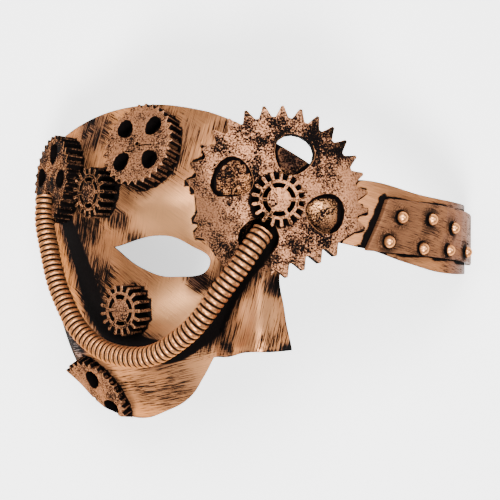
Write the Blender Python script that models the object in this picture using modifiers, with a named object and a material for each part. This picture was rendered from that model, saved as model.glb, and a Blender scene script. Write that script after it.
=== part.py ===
"""Steampunk half mask with a riveted side band, gears and a corrugated tube.

The mask lies on its back rims with the face up. +X is the wearer's left, +Y the forehead and +Z the way
the face looks. Sizes are in metres and angles in degrees. Places on the face are given by an angle about
the head's axis, which runs along Y at the height of the rims, and by a height along Y from the eye line.
"""
import math

import bmesh
import bpy
from mathutils import Matrix, Vector

HEAD_RADIUS = 0.085
FACE_LENGTH = 0.117
HALF_WIDTH = 0.088
SHELL_WALL = 0.0022
PART_GAP = 0.0004
OUTLINE_DEPTH = 0.13
CORE_SHARE = 0.75

NOSE_RISE = 0.0205
NOSE_HALF_WIDTH = 0.0145
BROW_DOME_RISE = 0.003
BROW_DOME_RADIUS = 0.0075
BROW_DOME_ANGLE = 15.0
BROW_DOME_HEIGHT = 0.0150

BIG_GEAR_TIP = 0.0325
BIG_GEAR_ROOT = 0.0287
BIG_GEAR_TEETH = 32
BIG_GEAR_SEAT_SHARE = 0.985
BIG_GEAR_THICK = 0.0035
BIG_GEAR_LIFT = 0.0030
BIG_GEAR_ANGLE = 4.0
BIG_GEAR_HEIGHT = 0.0180
BIG_GEAR_LEAN = 4.0
BROW_EDGE_SPREAD = 1.06
CHORD_DIRECTION = -67.0
CHORD_ROOT = 0.0206
CHORD_TIP = 0.0243
CHORD_START = -0.0070
CHORD_PITCH = 0.0062
CHORD_TEETH = 4
SIDE_TOOTH = -15.0
SIDE_TEETH = 20
PLAIN_ARC = (212.0, 220.0, 228.0, 235.0)
PLAIN_ARC_REACH = 0.98
INNER_CREASE = 0.0130
INNER_DIRECTION = 216.0
INNER_BEND = 22.0

# The big gear's slit and notch beside the nose and its three holes, as shares of its tip radius.
SLIT_ACROSS = -0.07
SLIT_TOP = 0.55
SLIT_FOOT = 0.754
NOTCH_CENTRE = (-0.185, -0.37)
NOTCH_RADIUS = 0.205
NOTCH_START = 235.0
NOTCH_STEP = 28.5
BIG_HOLE_REACH = 0.515
BIG_HOLE_ALONG = 0.215
BIG_HOLE_ACROSS = 0.225
BIG_HOLE_DIRECTIONS = (70.0, 151.0, -12.0)

TEMPLE_GEAR_TIP = 0.0168
FOREHEAD_GEAR_TIP = 0.0150
JAW_GEAR_TIP = 0.0163
PLATE_GEAR_STAND = 0.0055
PLATE_GEAR_TEETH = 30
PLATE_GEAR_ROOT_SHARE = 0.895
PLATE_HOLE_REACH = 0.555
PLATE_HOLE_ALONG = 0.245
PLATE_HOLE_ACROSS = 0.235
PLATE_GEAR_PIN_HOLE = 0.0008
GEAR_REACH = 2.6

PEG_GEAR_TIP = 0.0092
PEG_GEAR_RING = 0.0066
PEG_GEAR_RING_WALL = 0.0011
PEG_GEAR_DISC = 0.0040
PEG_GEAR_STAND = 0.0060
PEG_GEAR_PEGS = 17
PEG_GEAR_SPOKES = 6
PEG_WIDTH = 0.0011

TUBE_RADIUS = 0.0037
TUBE_GROOVE = 0.0007
TUBE_PITCH = 0.0025
TUBE_SIDES = 10

BAND_PLATE_THICK = 0.0022
BAND_PLATE_STARTS = (25.3, 30.6)
BAND_PLATE_END = 83.0
BAND_PLATE_START_EDGES = (0.017, 0.167)
BAND_PLATE_END_EDGES = (-0.038, 0.133)
RIVET_RADIUS = 0.0021
RIVET_HEIGHT = 0.0024
RIVET_SIDES = 12
RIVET_RINGS = 8

# Radius of the face about the head's axis, as shares of HEAD_RADIUS, at these angles.
SECTION_ANGLES = (-90, -75, -60, -45, -30, -15, 0, 15, 30, 60, 90)
# Each row is a section's height, as a share of FACE_LENGTH, and its radii.
SECTIONS = (
    (-0.564, (0.78, 0.74, 0.70, 0.67, 0.66, 0.67, 0.69, 0.73, 0.77, 0.96, 1.00)),
    (-0.462, (0.86, 0.82, 0.79, 0.76, 0.74, 0.745, 0.76, 0.80, 0.84, 0.98, 1.01)),
    (-0.359, (0.93, 0.89, 0.865, 0.835, 0.82, 0.81, 0.82, 0.86, 0.89, 1.00, 1.02)),
    (-0.256, (0.975, 0.945, 0.92, 0.895, 0.87, 0.86, 0.87, 0.905, 0.94, 1.005, 1.025)),
    (-0.154, (1.01, 0.975, 0.94, 0.915, 0.895, 0.885, 0.90, 0.935, 0.965, 1.01, 1.025)),
    (-0.051, (1.04, 0.995, 0.945, 0.895, 0.88, 0.900, 0.920, 0.950, 0.985, 1.012, 1.025)),
    (0.051, (1.058, 1.010, 0.960, 0.920, 0.910, 0.930, 0.945, 0.970, 1.00, 1.013, 1.025)),
    (0.154, (1.067, 1.025, 0.985, 0.970, 0.970, 0.975, 0.965, 0.972, 1.005, 1.013, 1.025)),
    (0.274, (1.060, 1.015, 0.975, 0.955, 0.955, 0.965, 0.965, 0.965, 0.975, 1.00, 1.02)),
    (0.393, (1.035, 0.985, 0.945, 0.920, 0.912, 0.920, 0.925, 0.925, 0.93, 0.98, 1.01)),
    (0.496, (0.99, 0.930, 0.890, 0.862, 0.845, 0.845, 0.85, 0.855, 0.87, 0.95, 1.00)),
)

# The nose above the face: height as a share of FACE_LENGTH, rise and half width as shares of the nose's.
NOSE_SECTIONS = (
    (0.050, 0.00, 0.50),
    (0.000, 0.07, 0.52),
    (-0.051, 0.21, 0.58),
    (-0.140, 0.54, 0.72),
    (-0.220, 0.88, 0.92),
    (-0.265, 1.00, 1.00),
    (-0.310, 0.80, 1.00),
    (-0.370, 0.20, 0.95),
    (-0.430, 0.00, 0.90),
)
NOSE_EDGE_POWER = 1.7
NOSE_SIDE_POWER = 1.25

# The shell's outline from the front: x as a share of HALF_WIDTH, y as a share of FACE_LENGTH, corner or not.
OUTLINE = (
    ("top rim corner", -1.20, 0.325, True),
    ("temple", -1.02, 0.337, False),
    ("forehead side", -0.858, 0.405, False),
    ("forehead top", -0.51, 0.463, False),
    ("forehead middle", -0.216, 0.430, False),
    ("brow end", -0.09, 0.392, True),
    ("behind the gear", 0.19, 0.200, False),
    ("band root top", 0.41, 0.223, False),
    ("band top", 0.693, 0.183, False),
    ("band end top", 1.20, 0.166, True),
    ("band end bottom", 1.20, -0.062, True),
    ("band bottom", 0.80, -0.058, False),
    ("band lower root", 0.60, -0.022, False),
    ("band root bottom", 0.41, 0.022, False),
    ("open brow", 0.22, 0.036, False),
    ("nose side top", 0.097, -0.020, False),
    ("nose side", 0.100, -0.165, False),
    ("nose side bottom", 0.128, -0.272, True),
    ("nose tip", 0.06, -0.268, False),
    ("nose edge", -0.05, -0.270, False),
    ("nose wing", -0.125, -0.296, False),
    ("lip corner", -0.178, -0.306, True),
    ("lip", -0.220, -0.368, False),
    ("mouth", -0.283, -0.441, False),
    ("chin side", -0.394, -0.499, False),
    ("jaw bottom", -0.505, -0.536, False),
    ("jaw", -0.605, -0.531, False),
    ("jaw side", -0.709, -0.492, False),
    ("jaw corner", -0.800, -0.428, False),
    ("rim bottom", -0.875, -0.385, True),
    ("rim side", -1.20, -0.360, True),
)

# The eye hole in the same shares.
EYE_OUTLINE = (
    ("outer corner", -0.600, 0.026, True),
    ("upper lid", -0.375, 0.060, False),
    ("inner upper lid", -0.270, 0.031, False),
    ("inner corner", -0.191, -0.022, False),
    ("lower lid", -0.340, -0.064, False),
    ("outer lower lid", -0.480, -0.038, False),
)

# The tube's route from the temple gear to the hub: the place on the face under it, x as a share of
# HALF_WIDTH and y of FACE_LENGTH, and how far its centre stands off, as a share of TUBE_RADIUS.
TUBE_ROUTE = (
    (-0.8622, 0.190, 1.742),
    (-0.8411, 0.110, 2.251),
    (-0.7964, 0.023, 2.770),
    (-0.7520, -0.066, 3.132),
    (-0.7238, -0.130, 2.983),
    (-0.6654, -0.212, 2.922),
    (-0.5992, -0.261, 3.034),
    (-0.5189, -0.291, 3.342),
    (-0.4110, -0.300, 3.764),
    (-0.3230, -0.282, 4.001),
    (-0.2401, -0.231, 4.150),
    (-0.1864, -0.183, 4.183),
    (-0.1325, -0.114, 3.963),
    (-0.0655, -0.029, 3.117),
    (-0.0160, 0.034, 2.666),
    (0.0145, 0.070, 2.178),
)

# Rivets on the band: angle and height as a share of FACE_LENGTH.
RIVETS = (
    (34.0, 0.1145),
    (44.0, 0.111),
    (54.5, 0.087),
    (30.7, 0.044),
    (41.2, 0.023),
    (52.2, 0.017),
    (64.0, 0.010),
)

# Toothed gears on the face: name, tip radius, x as a share of HALF_WIDTH and y of FACE_LENGTH, spin, lean.
PLATE_GEARS = (
    ("temple_gear", TEMPLE_GEAR_TIP, -0.8541, 0.248, 40.0, 0.0),
    ("forehead_gear", FOREHEAD_GEAR_TIP, -0.4481, 0.320, 2.0, 0.0),
    ("jaw_gear", JAW_GEAR_TIP, -0.6930, -0.462, 26.0, 0.4),
)

# Pegged gears on the face: name, x as a share of HALF_WIDTH, y of FACE_LENGTH.
PEG_GEARS = (
    ("temple_small_gear", -0.6452, 0.193),
    ("cheek_small_gear", -0.5223, -0.165),
)

COPPER = (0.56, 0.31, 0.20, 1.0)
DARK_COPPER = (0.36, 0.19, 0.12, 1.0)


def spline(knots, values, at):
    """The smooth curve through the values at one place."""
    last = len(knots) - 2
    i = 0
    while i < last and at > knots[i + 1]:
        i += 1
    before = max(i - 1, 0)
    after = min(i + 2, last + 1)
    span = knots[i + 1] - knots[i]
    start_slope = (values[i + 1] - values[before]) / (knots[i + 1] - knots[before])
    end_slope = (values[after] - values[i]) / (knots[after] - knots[i])
    t = (at - knots[i]) / span
    t = min(max(t, -0.6), 1.6)
    return (
        values[i] * (2 * t**3 - 3 * t**2 + 1)
        + values[i + 1] * (3 * t**2 - 2 * t**3)
        + start_slope * span * (t**3 - 2 * t**2 + t)
        + end_slope * span * (t**3 - t**2)
    )


def nose_lift(across, height):
    """How far the nose stands off the face at a distance across from its ridge."""
    heights = [row[0] * FACE_LENGTH for row in reversed(NOSE_SECTIONS)]
    if not heights[0] < height < heights[-1]:
        return 0.0
    rise = spline(heights, [row[1] for row in reversed(NOSE_SECTIONS)], height) * NOSE_RISE
    half = spline(heights, [row[2] for row in reversed(NOSE_SECTIONS)], height) * NOSE_HALF_WIDTH
    share = min(abs(across) / half, 1.0)
    return max(rise, 0.0) * (1 - share**NOSE_EDGE_POWER) ** NOSE_SIDE_POWER


def dome_lift(angle, height):
    """The brow's round bulge inside the big gear's side hole."""
    across = math.radians(angle - BROW_DOME_ANGLE) * HEAD_RADIUS
    share = math.hypot(across, height - BROW_DOME_HEIGHT) / BROW_DOME_RADIUS
    if share >= 1:
        return 0.0
    return BROW_DOME_RISE * (1 - share**2) ** 1.5


def face_radius(angle, height):
    """The outer surface's distance from the head's axis."""
    heights = [row[0] * FACE_LENGTH for row in SECTIONS]
    at_angle = [spline(SECTION_ANGLES, row[1], angle) for row in SECTIONS]
    radius = spline(heights, at_angle, height) * HEAD_RADIUS
    across = math.sin(math.radians(angle)) * radius
    return radius + nose_lift(across, height) + dome_lift(angle, height)


def face_point(angle, height):
    """A point of the outer surface."""
    radius = face_radius(angle, height)
    turn = math.radians(angle)
    return Vector((radius * math.sin(turn), height, radius * math.cos(turn)))


def face_normal(angle, height, reach=1.0):
    """The outward direction of the surface, taken over a patch of some degrees."""
    step = math.radians(reach) * HEAD_RADIUS
    around = face_point(angle + reach, height) - face_point(angle - reach, height)
    along = face_point(angle, height + step) - face_point(angle, height - step)
    return around.cross(along).normalized()


def angle_at(x, height):
    """The angle at which the face has this x."""
    low = -90.0
    high = 90.0
    for _ in range(30):
        middle = (low + high) / 2
        if face_point(middle, height).x < x:
            low = middle
        else:
            high = middle
    return middle


def steps(marks):
    """Values from mark to mark, each stretch in its own number of equal steps."""
    values = [marks[0][0]]
    for (start, _), (end, count) in zip(marks, marks[1:]):
        values += [start + (end - start) * (i + 1) / count for i in range(count)]
    return values


def face_grid():
    """The angles and heights at which the face is drawn, closer together about the nose."""
    angles = steps(((-103, 0), (-13, 20), (13, 12), (28, 5), (98, 11)))
    lows = (-0.575 * FACE_LENGTH, -0.36 * FACE_LENGTH, -0.20 * FACE_LENGTH)
    heights = steps(((lows[0], 0), (lows[1], 4), (lows[2], 5), (0.55 * FACE_LENGTH, 16)))
    return angles, heights


def add_sheet(mesh, rows):
    """Faces over rows of points."""
    grid = [[mesh.verts.new(point) for point in row] for row in rows]
    for low, high in zip(grid, grid[1:]):
        for i in range(len(low) - 1):
            mesh.faces.new((low[i], low[i + 1], high[i + 1], high[i]))
    return grid


def face_sheet(name):
    """The face's outer surface as an open sheet."""
    angles, heights = face_grid()
    mesh = bmesh.new()
    add_sheet(mesh, [[face_point(angle, height) for angle in angles] for height in heights])
    mesh.normal_update()
    return mesh_object(name, mesh)


def border(grid):
    """The points round the edge of a grid, in order."""
    right = [row[-1] for row in grid[1:]]
    left = [row[0] for row in grid[-2:0:-1]]
    return grid[0] + right + grid[-1][-2::-1] + left


def face_core(name, lift, share):
    """A solid under the face's surface, moved out by the lift, down to a share of its radius."""
    angles, heights = face_grid()
    outer = [[face_point(a, h) + face_normal(a, h) * lift for a in angles] for h in heights]
    inner = [[Vector((p.x * share, p.y, p.z * share)) for p in row] for row in outer]
    mesh = bmesh.new()
    top = add_sheet(mesh, outer)
    bottom = add_sheet(mesh, inner)
    rim = border(top)
    foot = border(bottom)
    for i in range(len(rim)):
        after = (i + 1) % len(rim)
        mesh.faces.new((rim[i], rim[after], foot[after], foot[i]))
    bmesh.ops.recalc_face_normals(mesh, faces=mesh.faces)
    return mesh_object(name, mesh)


def mesh_object(name, mesh):
    """An object from an edit mesh."""
    data = bpy.data.meshes.new(name)
    mesh.to_mesh(data)
    mesh.free()
    return bpy.data.objects.new(name, data)


def make_collection(name):
    group = bpy.data.collections.new(name)
    bpy.context.scene.collection.children.link(group)
    return group


def make_material(name, colour, metallic, roughness):
    material = bpy.data.materials.new(name)
    material.use_nodes = True
    shader = material.node_tree.nodes["Principled BSDF"]
    shader.inputs["Base Color"].default_value = colour
    shader.inputs["Metallic"].default_value = metallic
    shader.inputs["Roughness"].default_value = roughness
    return material


def finish(part, group, origin, material, smooth=35.0):
    """Puts a finished piece in the mask's collection, in its material."""
    group.objects.link(part)
    part.parent = origin
    part.data.materials.clear()
    part.data.materials.append(material)
    part.data.shade_smooth()
    part.data.set_sharp_from_angle(angle=math.radians(smooth))


def as_cutter(tool, group, origin):
    """Puts a guide solid in the cutters' collection."""
    group.objects.link(tool)
    tool.parent = origin
    tool.hide_render = True
    tool.display_type = "WIRE"
    return tool


def boolean(part, tool, operation):
    change = part.modifiers.new(operation.title() + " " + tool.name, "BOOLEAN")
    change.object = tool
    change.operation = operation
    change.solver = "EXACT"


def curve_outline(curve, points, rounded=False):
    """Adds one closed outline to a flat curve; rounded rows are (name, x, y, corner)."""
    if rounded:
        line = curve.splines.new("BEZIER")
        line.bezier_points.add(len(points) - 1)
        line.resolution_u = 4
        for spot, (_, x, y, corner) in zip(line.bezier_points, points):
            spot.co = (x * HALF_WIDTH, y * FACE_LENGTH, 0)
            kind = "VECTOR" if corner else "AUTO"
            spot.handle_left_type = kind
            spot.handle_right_type = kind
    else:
        line = curve.splines.new("POLY")
        line.points.add(len(points) - 1)
        for spot, (x, y) in zip(line.points, points):
            spot.co = (x, y, 0, 1)
    line.use_cyclic_u = True


def flat_solid(name, outlines, depth, top=0.0, rounded=False):
    """A flat solid from outlines, the first with the others as holes, its front face at z = top."""
    curve = bpy.data.curves.new(name, "CURVE")
    curve.dimensions = "2D"
    curve.fill_mode = "BOTH"
    curve.extrude = depth / 2
    for points in outlines:
        curve_outline(curve, points, rounded)
    drawn = bpy.data.objects.new(name + " outline", curve)
    bpy.context.scene.collection.objects.link(drawn)
    seen = drawn.evaluated_get(bpy.context.evaluated_depsgraph_get())
    data = bpy.data.meshes.new_from_object(seen)
    mesh = bmesh.new()
    mesh.from_mesh(data)
    bmesh.ops.remove_doubles(mesh, verts=mesh.verts, dist=1e-6)
    bmesh.ops.translate(mesh, verts=mesh.verts, vec=(0, 0, top - depth / 2))
    bpy.data.objects.remove(drawn)
    bpy.data.curves.remove(curve)
    bpy.data.meshes.remove(data)
    return mesh_object(name, mesh)


def polar(radius, degrees):
    turn = math.radians(degrees)
    return (radius * math.cos(turn), radius * math.sin(turn))


def egg(radius, radial_half, across_half, degrees, count=18):
    """A rounded hole on a gear, wider on its outer side, at one direction from the gear's centre."""
    turn = Matrix.Rotation(math.radians(degrees), 2)
    points = []
    for i in range(count):
        phase = 2 * math.pi * i / count
        along = radius + radial_half * math.cos(phase)
        across = across_half * (0.92 + 0.2 * math.cos(phase)) * math.sin(phase)
        points.append(tuple(turn @ Vector((along, across))))
    return points


def tooth(tip, root, centre, pitch):
    """One pointed tooth with a blunt tip, as outline points about its direction."""
    flank = (tip + root) / 2
    return [
        polar(root, centre - 0.40 * pitch),
        polar(flank, centre - 0.21 * pitch),
        polar(tip, centre - 0.07 * pitch),
        polar(tip, centre + 0.07 * pitch),
        polar(flank, centre + 0.21 * pitch),
        polar(root, centre + 0.40 * pitch),
    ]


def plate_gear_outlines(tip):
    """A gear with pointed teeth, four rounded holes and a small pin hole."""
    pitch = 360 / PLATE_GEAR_TEETH
    rim = []
    for i in range(PLATE_GEAR_TEETH):
        points = tooth(tip, tip * PLATE_GEAR_ROOT_SHARE, i * pitch, pitch)
        rim += [points[0], points[2], points[3], points[5]]
    spots = [45 + 90 * i for i in range(4)]
    along = tip * PLATE_HOLE_ALONG
    across = tip * PLATE_HOLE_ACROSS
    holes = [egg(tip * PLATE_HOLE_REACH, along, across, degrees, 10) for degrees in spots]
    pin = [polar(PLATE_GEAR_PIN_HOLE, 60 * i) for i in range(6)]
    return [rim, *holes, pin]


def peg_gear_outlines():
    """A small gear with a disc, spokes, a ring and round pegs."""
    pitch = 360 / PEG_GEAR_PEGS
    rim = []
    for i in range(PEG_GEAR_PEGS):
        foot = math.degrees(PEG_WIDTH * 0.42 / PEG_GEAR_RING)
        head = math.degrees(PEG_WIDTH * 0.58 / PEG_GEAR_TIP)
        centre = i * pitch
        rim.append(polar(PEG_GEAR_RING, centre - foot))
        rim.append(polar(PEG_GEAR_TIP - PEG_WIDTH * 0.45, centre - head))
        rim.append(polar(PEG_GEAR_TIP, centre))
        rim.append(polar(PEG_GEAR_TIP - PEG_WIDTH * 0.45, centre + head))
        rim.append(polar(PEG_GEAR_RING, centre + foot))
    outlines = [rim]
    inner = PEG_GEAR_RING - PEG_GEAR_RING_WALL
    sector = 360 / PEG_GEAR_SPOKES
    inner_trim = math.degrees(PEG_WIDTH * 0.5 / PEG_GEAR_DISC)
    outer_trim = math.degrees(PEG_WIDTH * 0.5 / inner)
    for i in range(PEG_GEAR_SPOKES):
        start = i * sector
        near_step = (sector - 2 * inner_trim) / 2
        far_step = (sector - 2 * outer_trim) / 3
        near = [polar(PEG_GEAR_DISC, start + inner_trim + near_step * k) for k in range(3)]
        far = [polar(inner, start + outer_trim + far_step * k) for k in range(4)]
        outlines.append(near + far[::-1])
    return outlines


def stand_matrix(angle, height, spin, reach=6.0, forward=0.0):
    """The place of a gear's foot on the face, with z along the surface's normal or leant forward from it."""
    out = (face_normal(angle, height, reach) + Vector((0, 0, forward))).normalized()
    side = Vector((0, 1, 0)).cross(out).normalized()
    up = out.cross(side)
    turn = Matrix((side, up, out)).transposed().to_4x4()
    return Matrix.Translation(face_point(angle, height)) @ turn @ Matrix.Rotation(math.radians(spin), 4, "Z")


def standing_gear(name, outlines, angle, height, spin, stand, seat, forward=0.0):
    """A gear standing on the face, its underside cut to the face with a small gap."""
    part = flat_solid(name, outlines, stand * GEAR_REACH, top=stand)
    part.matrix_world = stand_matrix(angle, height, spin, forward=forward)
    boolean(part, seat, "DIFFERENCE")
    return part


def big_gear_slit():
    """Where the slit beside the nose bridge ends, across from the gear's middle."""
    return SLIT_ACROSS * BIG_GEAR_TIP


def chord_tooth(across):
    """One tooth of the straight lower edge, as outline points about its place along the edge."""
    turn = Matrix.Rotation(math.radians(CHORD_DIRECTION), 2)
    shape = ((-0.40, CHORD_ROOT), (-0.06, CHORD_TIP), (0.06, CHORD_TIP), (0.40, CHORD_ROOT))
    return [tuple(turn @ Vector((out, across + share * CHORD_PITCH))) for share, out in shape]


def big_gear_outlines():
    """The big gear's flat pattern: teeth, a plain inner arc, the nose's notch and three holes."""
    pitch = 360 / BIG_GEAR_TEETH
    slit = big_gear_slit()
    rim = [(slit, -SLIT_TOP * BIG_GEAR_TIP), (slit, -SLIT_FOOT * BIG_GEAR_TIP)]
    for i in range(CHORD_TEETH):
        rim += chord_tooth(CHORD_START + CHORD_PITCH * i)
    for i in range(SIDE_TEETH):
        rim += tooth(BIG_GEAR_TIP, BIG_GEAR_ROOT, SIDE_TOOTH + pitch * i, pitch)
    rim += [polar(BIG_GEAR_ROOT * PLAIN_ARC_REACH, degrees) for degrees in PLAIN_ARC]
    notch = Vector(NOTCH_CENTRE) * BIG_GEAR_TIP
    for i in range(10):
        spot = notch + Vector(polar(NOTCH_RADIUS * BIG_GEAR_TIP, NOTCH_START - NOTCH_STEP * i))
        rim.append(tuple(spot))
    reach = BIG_HOLE_REACH * BIG_GEAR_TIP
    along = BIG_HOLE_ALONG * BIG_GEAR_TIP
    across = BIG_HOLE_ACROSS * BIG_GEAR_TIP
    return [rim, *[egg(reach, along, across, degrees) for degrees in BIG_HOLE_DIRECTIONS]]


def bend(mesh, crease, direction, angle, right_end):
    """Turns what lies past a crease line, and left of its right end, down about the line on the back."""
    turn = math.radians(direction)
    out = Vector((math.cos(turn), math.sin(turn), 0))
    geometry = mesh.verts[:] + mesh.edges[:] + mesh.faces[:]
    bmesh.ops.bisect_plane(mesh, geom=geometry, plane_co=out * crease, plane_no=out, dist=1e-7)
    hinge = out * crease + Vector((0, 0, -BIG_GEAR_THICK))
    axis = out.cross(Vector((0, 0, 1)))
    for vert in mesh.verts:
        past = (vert.co - hinge).dot(out)
        if vert.co.x >= right_end or past < -1e-6:
            continue
        share = 1.0 if past > 1e-6 else 0.5
        spin = Matrix.Rotation(math.radians(-angle * share), 3, axis)
        vert.co = hinge + spin @ (vert.co - hinge)


def wrap(mesh, radius, spacing):
    """Bends a flat solid around the head's axis, its front face at the radius."""
    reach = max(abs(vert.co.x) for vert in mesh.verts)
    count = int(reach / spacing)
    for i in range(-count, count + 1):
        geometry = mesh.verts[:] + mesh.edges[:] + mesh.faces[:]
        cut = Vector((i * spacing, 0, 0))
        bmesh.ops.bisect_plane(mesh, geom=geometry, plane_co=cut, plane_no=(1, 0, 0), dist=1e-7)
    for vert in mesh.verts:
        turn = vert.co.x / radius
        far = radius + vert.co.z
        vert.co = Vector((far * math.sin(turn), vert.co.y, far * math.cos(turn)))


def big_gear_front():
    """The radius of the big gear's front about the head's axis."""
    return HEAD_RADIUS * BIG_GEAR_SEAT_SHARE + BIG_GEAR_LIFT


def big_gear_place():
    """The head's axis as the big gear sees it, turned about the head and leant back about its own middle."""
    turn = Matrix.Rotation(math.radians(BIG_GEAR_ANGLE), 4, "Y")
    lean = Matrix.Rotation(math.radians(-BIG_GEAR_LEAN), 4, "X")
    middle = Matrix.Translation((0, 0, big_gear_front()))
    return Matrix.Translation((0, BIG_GEAR_HEIGHT, 0)) @ turn @ middle @ lean @ middle.inverted()


def big_gear(seat):
    """The big gear: a toothed plate wrapped over the brow, with its inner part bent back."""
    part = flat_solid("big_gear", big_gear_outlines(), BIG_GEAR_THICK)
    mesh = bmesh.new()
    mesh.from_mesh(part.data)
    bend(mesh, INNER_CREASE, INNER_DIRECTION, INNER_BEND, big_gear_slit() * 1.5)
    wrap(mesh, big_gear_front(), BIG_GEAR_TIP / 5)
    mesh.to_mesh(part.data)
    mesh.free()
    part.matrix_world = big_gear_place()
    boolean(part, seat, "DIFFERENCE")
    return part


def hub_gear():
    """The small gear on the big gear's middle."""
    part = flat_solid("hub_gear", peg_gear_outlines(), PEG_GEAR_STAND, top=PEG_GEAR_STAND)
    part.matrix_world = big_gear_place() @ Matrix.Translation((0, 0, big_gear_front() + PART_GAP))
    return part


def route_points(spacing):
    """The tube's centre line, evenly spaced on a smooth curve through the route."""
    marks = []
    for x, y, lift in TUBE_ROUTE:
        height = y * FACE_LENGTH
        foot = face_point(angle_at(x * HALF_WIDTH, height), height)
        out = Vector((foot.x, 0, foot.z)).normalized()
        marks.append(foot + out * lift * TUBE_RADIUS)
    knots = list(range(len(marks)))
    fine = []
    for i in range(20 * (len(marks) - 1) + 1):
        fine.append(Vector(spline(knots, [mark[axis] for mark in marks], i / 20) for axis in range(3)))
    lengths = [0.0]
    for start, end in zip(fine, fine[1:]):
        lengths.append(lengths[-1] + (end - start).length)
    count = round(lengths[-1] / spacing)
    points = []
    spot = 0
    for i in range(count + 1):
        goal = lengths[-1] * i / count
        while spot < len(fine) - 2 and lengths[spot + 1] < goal:
            spot += 1
        share = (goal - lengths[spot]) / (lengths[spot + 1] - lengths[spot])
        points.append(fine[spot].lerp(fine[spot + 1], share))
    return points


def tube_solid(name, points, radii):
    """A closed round sleeve through rings of the given radii."""
    mesh = bmesh.new()
    across = Vector((0, 0, 1))
    rings = []
    for i, point in enumerate(points):
        ahead = points[min(i + 1, len(points) - 1)] - points[max(i - 1, 0)]
        ahead.normalize()
        across = (across - ahead * across.dot(ahead)).normalized()
        over = ahead.cross(across)
        ring = []
        for k in range(TUBE_SIDES):
            turn = 2 * math.pi * k / TUBE_SIDES
            spoke = across * math.cos(turn) + over * math.sin(turn)
            ring.append(mesh.verts.new(point + spoke * radii[i]))
        rings.append(ring)
    for ring, following in zip(rings, rings[1:]):
        for k in range(TUBE_SIDES):
            after = (k + 1) % TUBE_SIDES
            mesh.faces.new((ring[k], ring[after], following[after], following[k]))
    mesh.faces.new(rings[0][::-1])
    mesh.faces.new(rings[-1])
    mesh.normal_update()
    return mesh_object(name, mesh)


def corrugated_tube():
    """The ribbed tube: rings that swell and narrow once each pitch."""
    points = route_points(TUBE_PITCH / 2)
    radii = [TUBE_RADIUS - TUBE_GROOVE * (i % 2) for i in range(len(points))]
    return tube_solid("corrugated_tube", points, radii)


def tube_clearance():
    """A smooth sleeve round the tube, to cut what the tube passes."""
    points = route_points(TUBE_PITCH * 2)
    ahead = (points[1] - points[0]).normalized()
    points[0] = points[0] - ahead * PART_GAP
    radius = (TUBE_RADIUS + PART_GAP) / math.cos(math.pi / TUBE_SIDES)
    return tube_solid("tube clearance", points, [radius] * len(points))


def band_sheet(name, angles, edges, lift):
    """An open patch over the band between two height limits, given at its first and last angle."""
    mesh = bmesh.new()
    columns = []
    rows = 4
    for k, (low_angle, high_angle) in enumerate(angles):
        share = k / (len(angles) - 1)
        low = edges[0][0] + (edges[1][0] - edges[0][0]) * share
        high = edges[0][1] + (edges[1][1] - edges[0][1]) * share
        column = []
        for i in range(rows + 1):
            part = i / rows
            height = low + (high - low) * part
            angle = low_angle + (high_angle - low_angle) * part
            point = face_point(angle, height) + face_normal(angle, height) * lift
            column.append(mesh.verts.new(point))
        columns.append(column)
    for left, right in zip(columns, columns[1:]):
        for i in range(rows):
            mesh.faces.new((left[i], right[i], right[i + 1], left[i + 1]))
    mesh.normal_update()
    return mesh_object(name, mesh)


def band_plate():
    """The riveted plate: a curved sheet over the band's end, its inner edge slanted."""
    count = 10
    starts = BAND_PLATE_STARTS
    angles = [tuple(a + (BAND_PLATE_END - a) * k / count for a in starts) for k in range(count + 1)]
    edges = [
        tuple(share * FACE_LENGTH for share in shares)
        for shares in (BAND_PLATE_START_EDGES, BAND_PLATE_END_EDGES)
    ]
    part = band_sheet("rivet_plate", angles, edges, PART_GAP)
    solid = part.modifiers.new("Thickness", "SOLIDIFY")
    solid.thickness = BAND_PLATE_THICK
    solid.offset = 1.0
    return part


def rivet(name, angle, height):
    """A domed rivet head on the plate."""
    mesh = bmesh.new()
    bmesh.ops.create_uvsphere(mesh, u_segments=RIVET_SIDES, v_segments=RIVET_RINGS, radius=RIVET_RADIUS)
    bmesh.ops.scale(mesh, verts=mesh.verts, vec=(1, 1, RIVET_HEIGHT / RIVET_RADIUS))
    geometry = mesh.verts[:] + mesh.edges[:] + mesh.faces[:]
    cut = bmesh.ops.bisect_plane(
        mesh, geom=geometry, plane_co=(0, 0, 0), plane_no=(0, 0, 1), clear_inner=True, dist=1e-6
    )
    rim = [item for item in cut["geom_cut"] if isinstance(item, bmesh.types.BMEdge)]
    bmesh.ops.contextual_create(mesh, geom=rim)
    bmesh.ops.recalc_face_normals(mesh, faces=mesh.faces)
    part = mesh_object(name, mesh)
    place = stand_matrix(angle, height, 0, reach=1.0)
    lift = 2.25 * PART_GAP + BAND_PLATE_THICK
    part.matrix_world = place @ Matrix.Translation((0, 0, lift))
    return part


def mask_shell(outline):
    """The moulded face and side band, cut to the outline with the eye hole."""
    part = face_sheet("mask_shell")
    wall = part.modifiers.new("Wall", "SOLIDIFY")
    wall.thickness = SHELL_WALL
    wall.offset = -1.0
    boolean(part, outline, "INTERSECT")
    return part


def rest_origin(origin, group):
    """Moves the whole mask so that its origin is under the middle of its box."""
    bpy.context.view_layer.update()
    graph = bpy.context.evaluated_depsgraph_get()
    corners = []
    for part in group.objects:
        seen = part.evaluated_get(graph)
        corners += [seen.matrix_world @ vert.co for vert in seen.data.vertices]
    middle = [(max(c[axis] for c in corners) + min(c[axis] for c in corners)) / 2 for axis in (0, 1)]
    origin.location = (-middle[0], -middle[1], -min(c[2] for c in corners))


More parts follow.
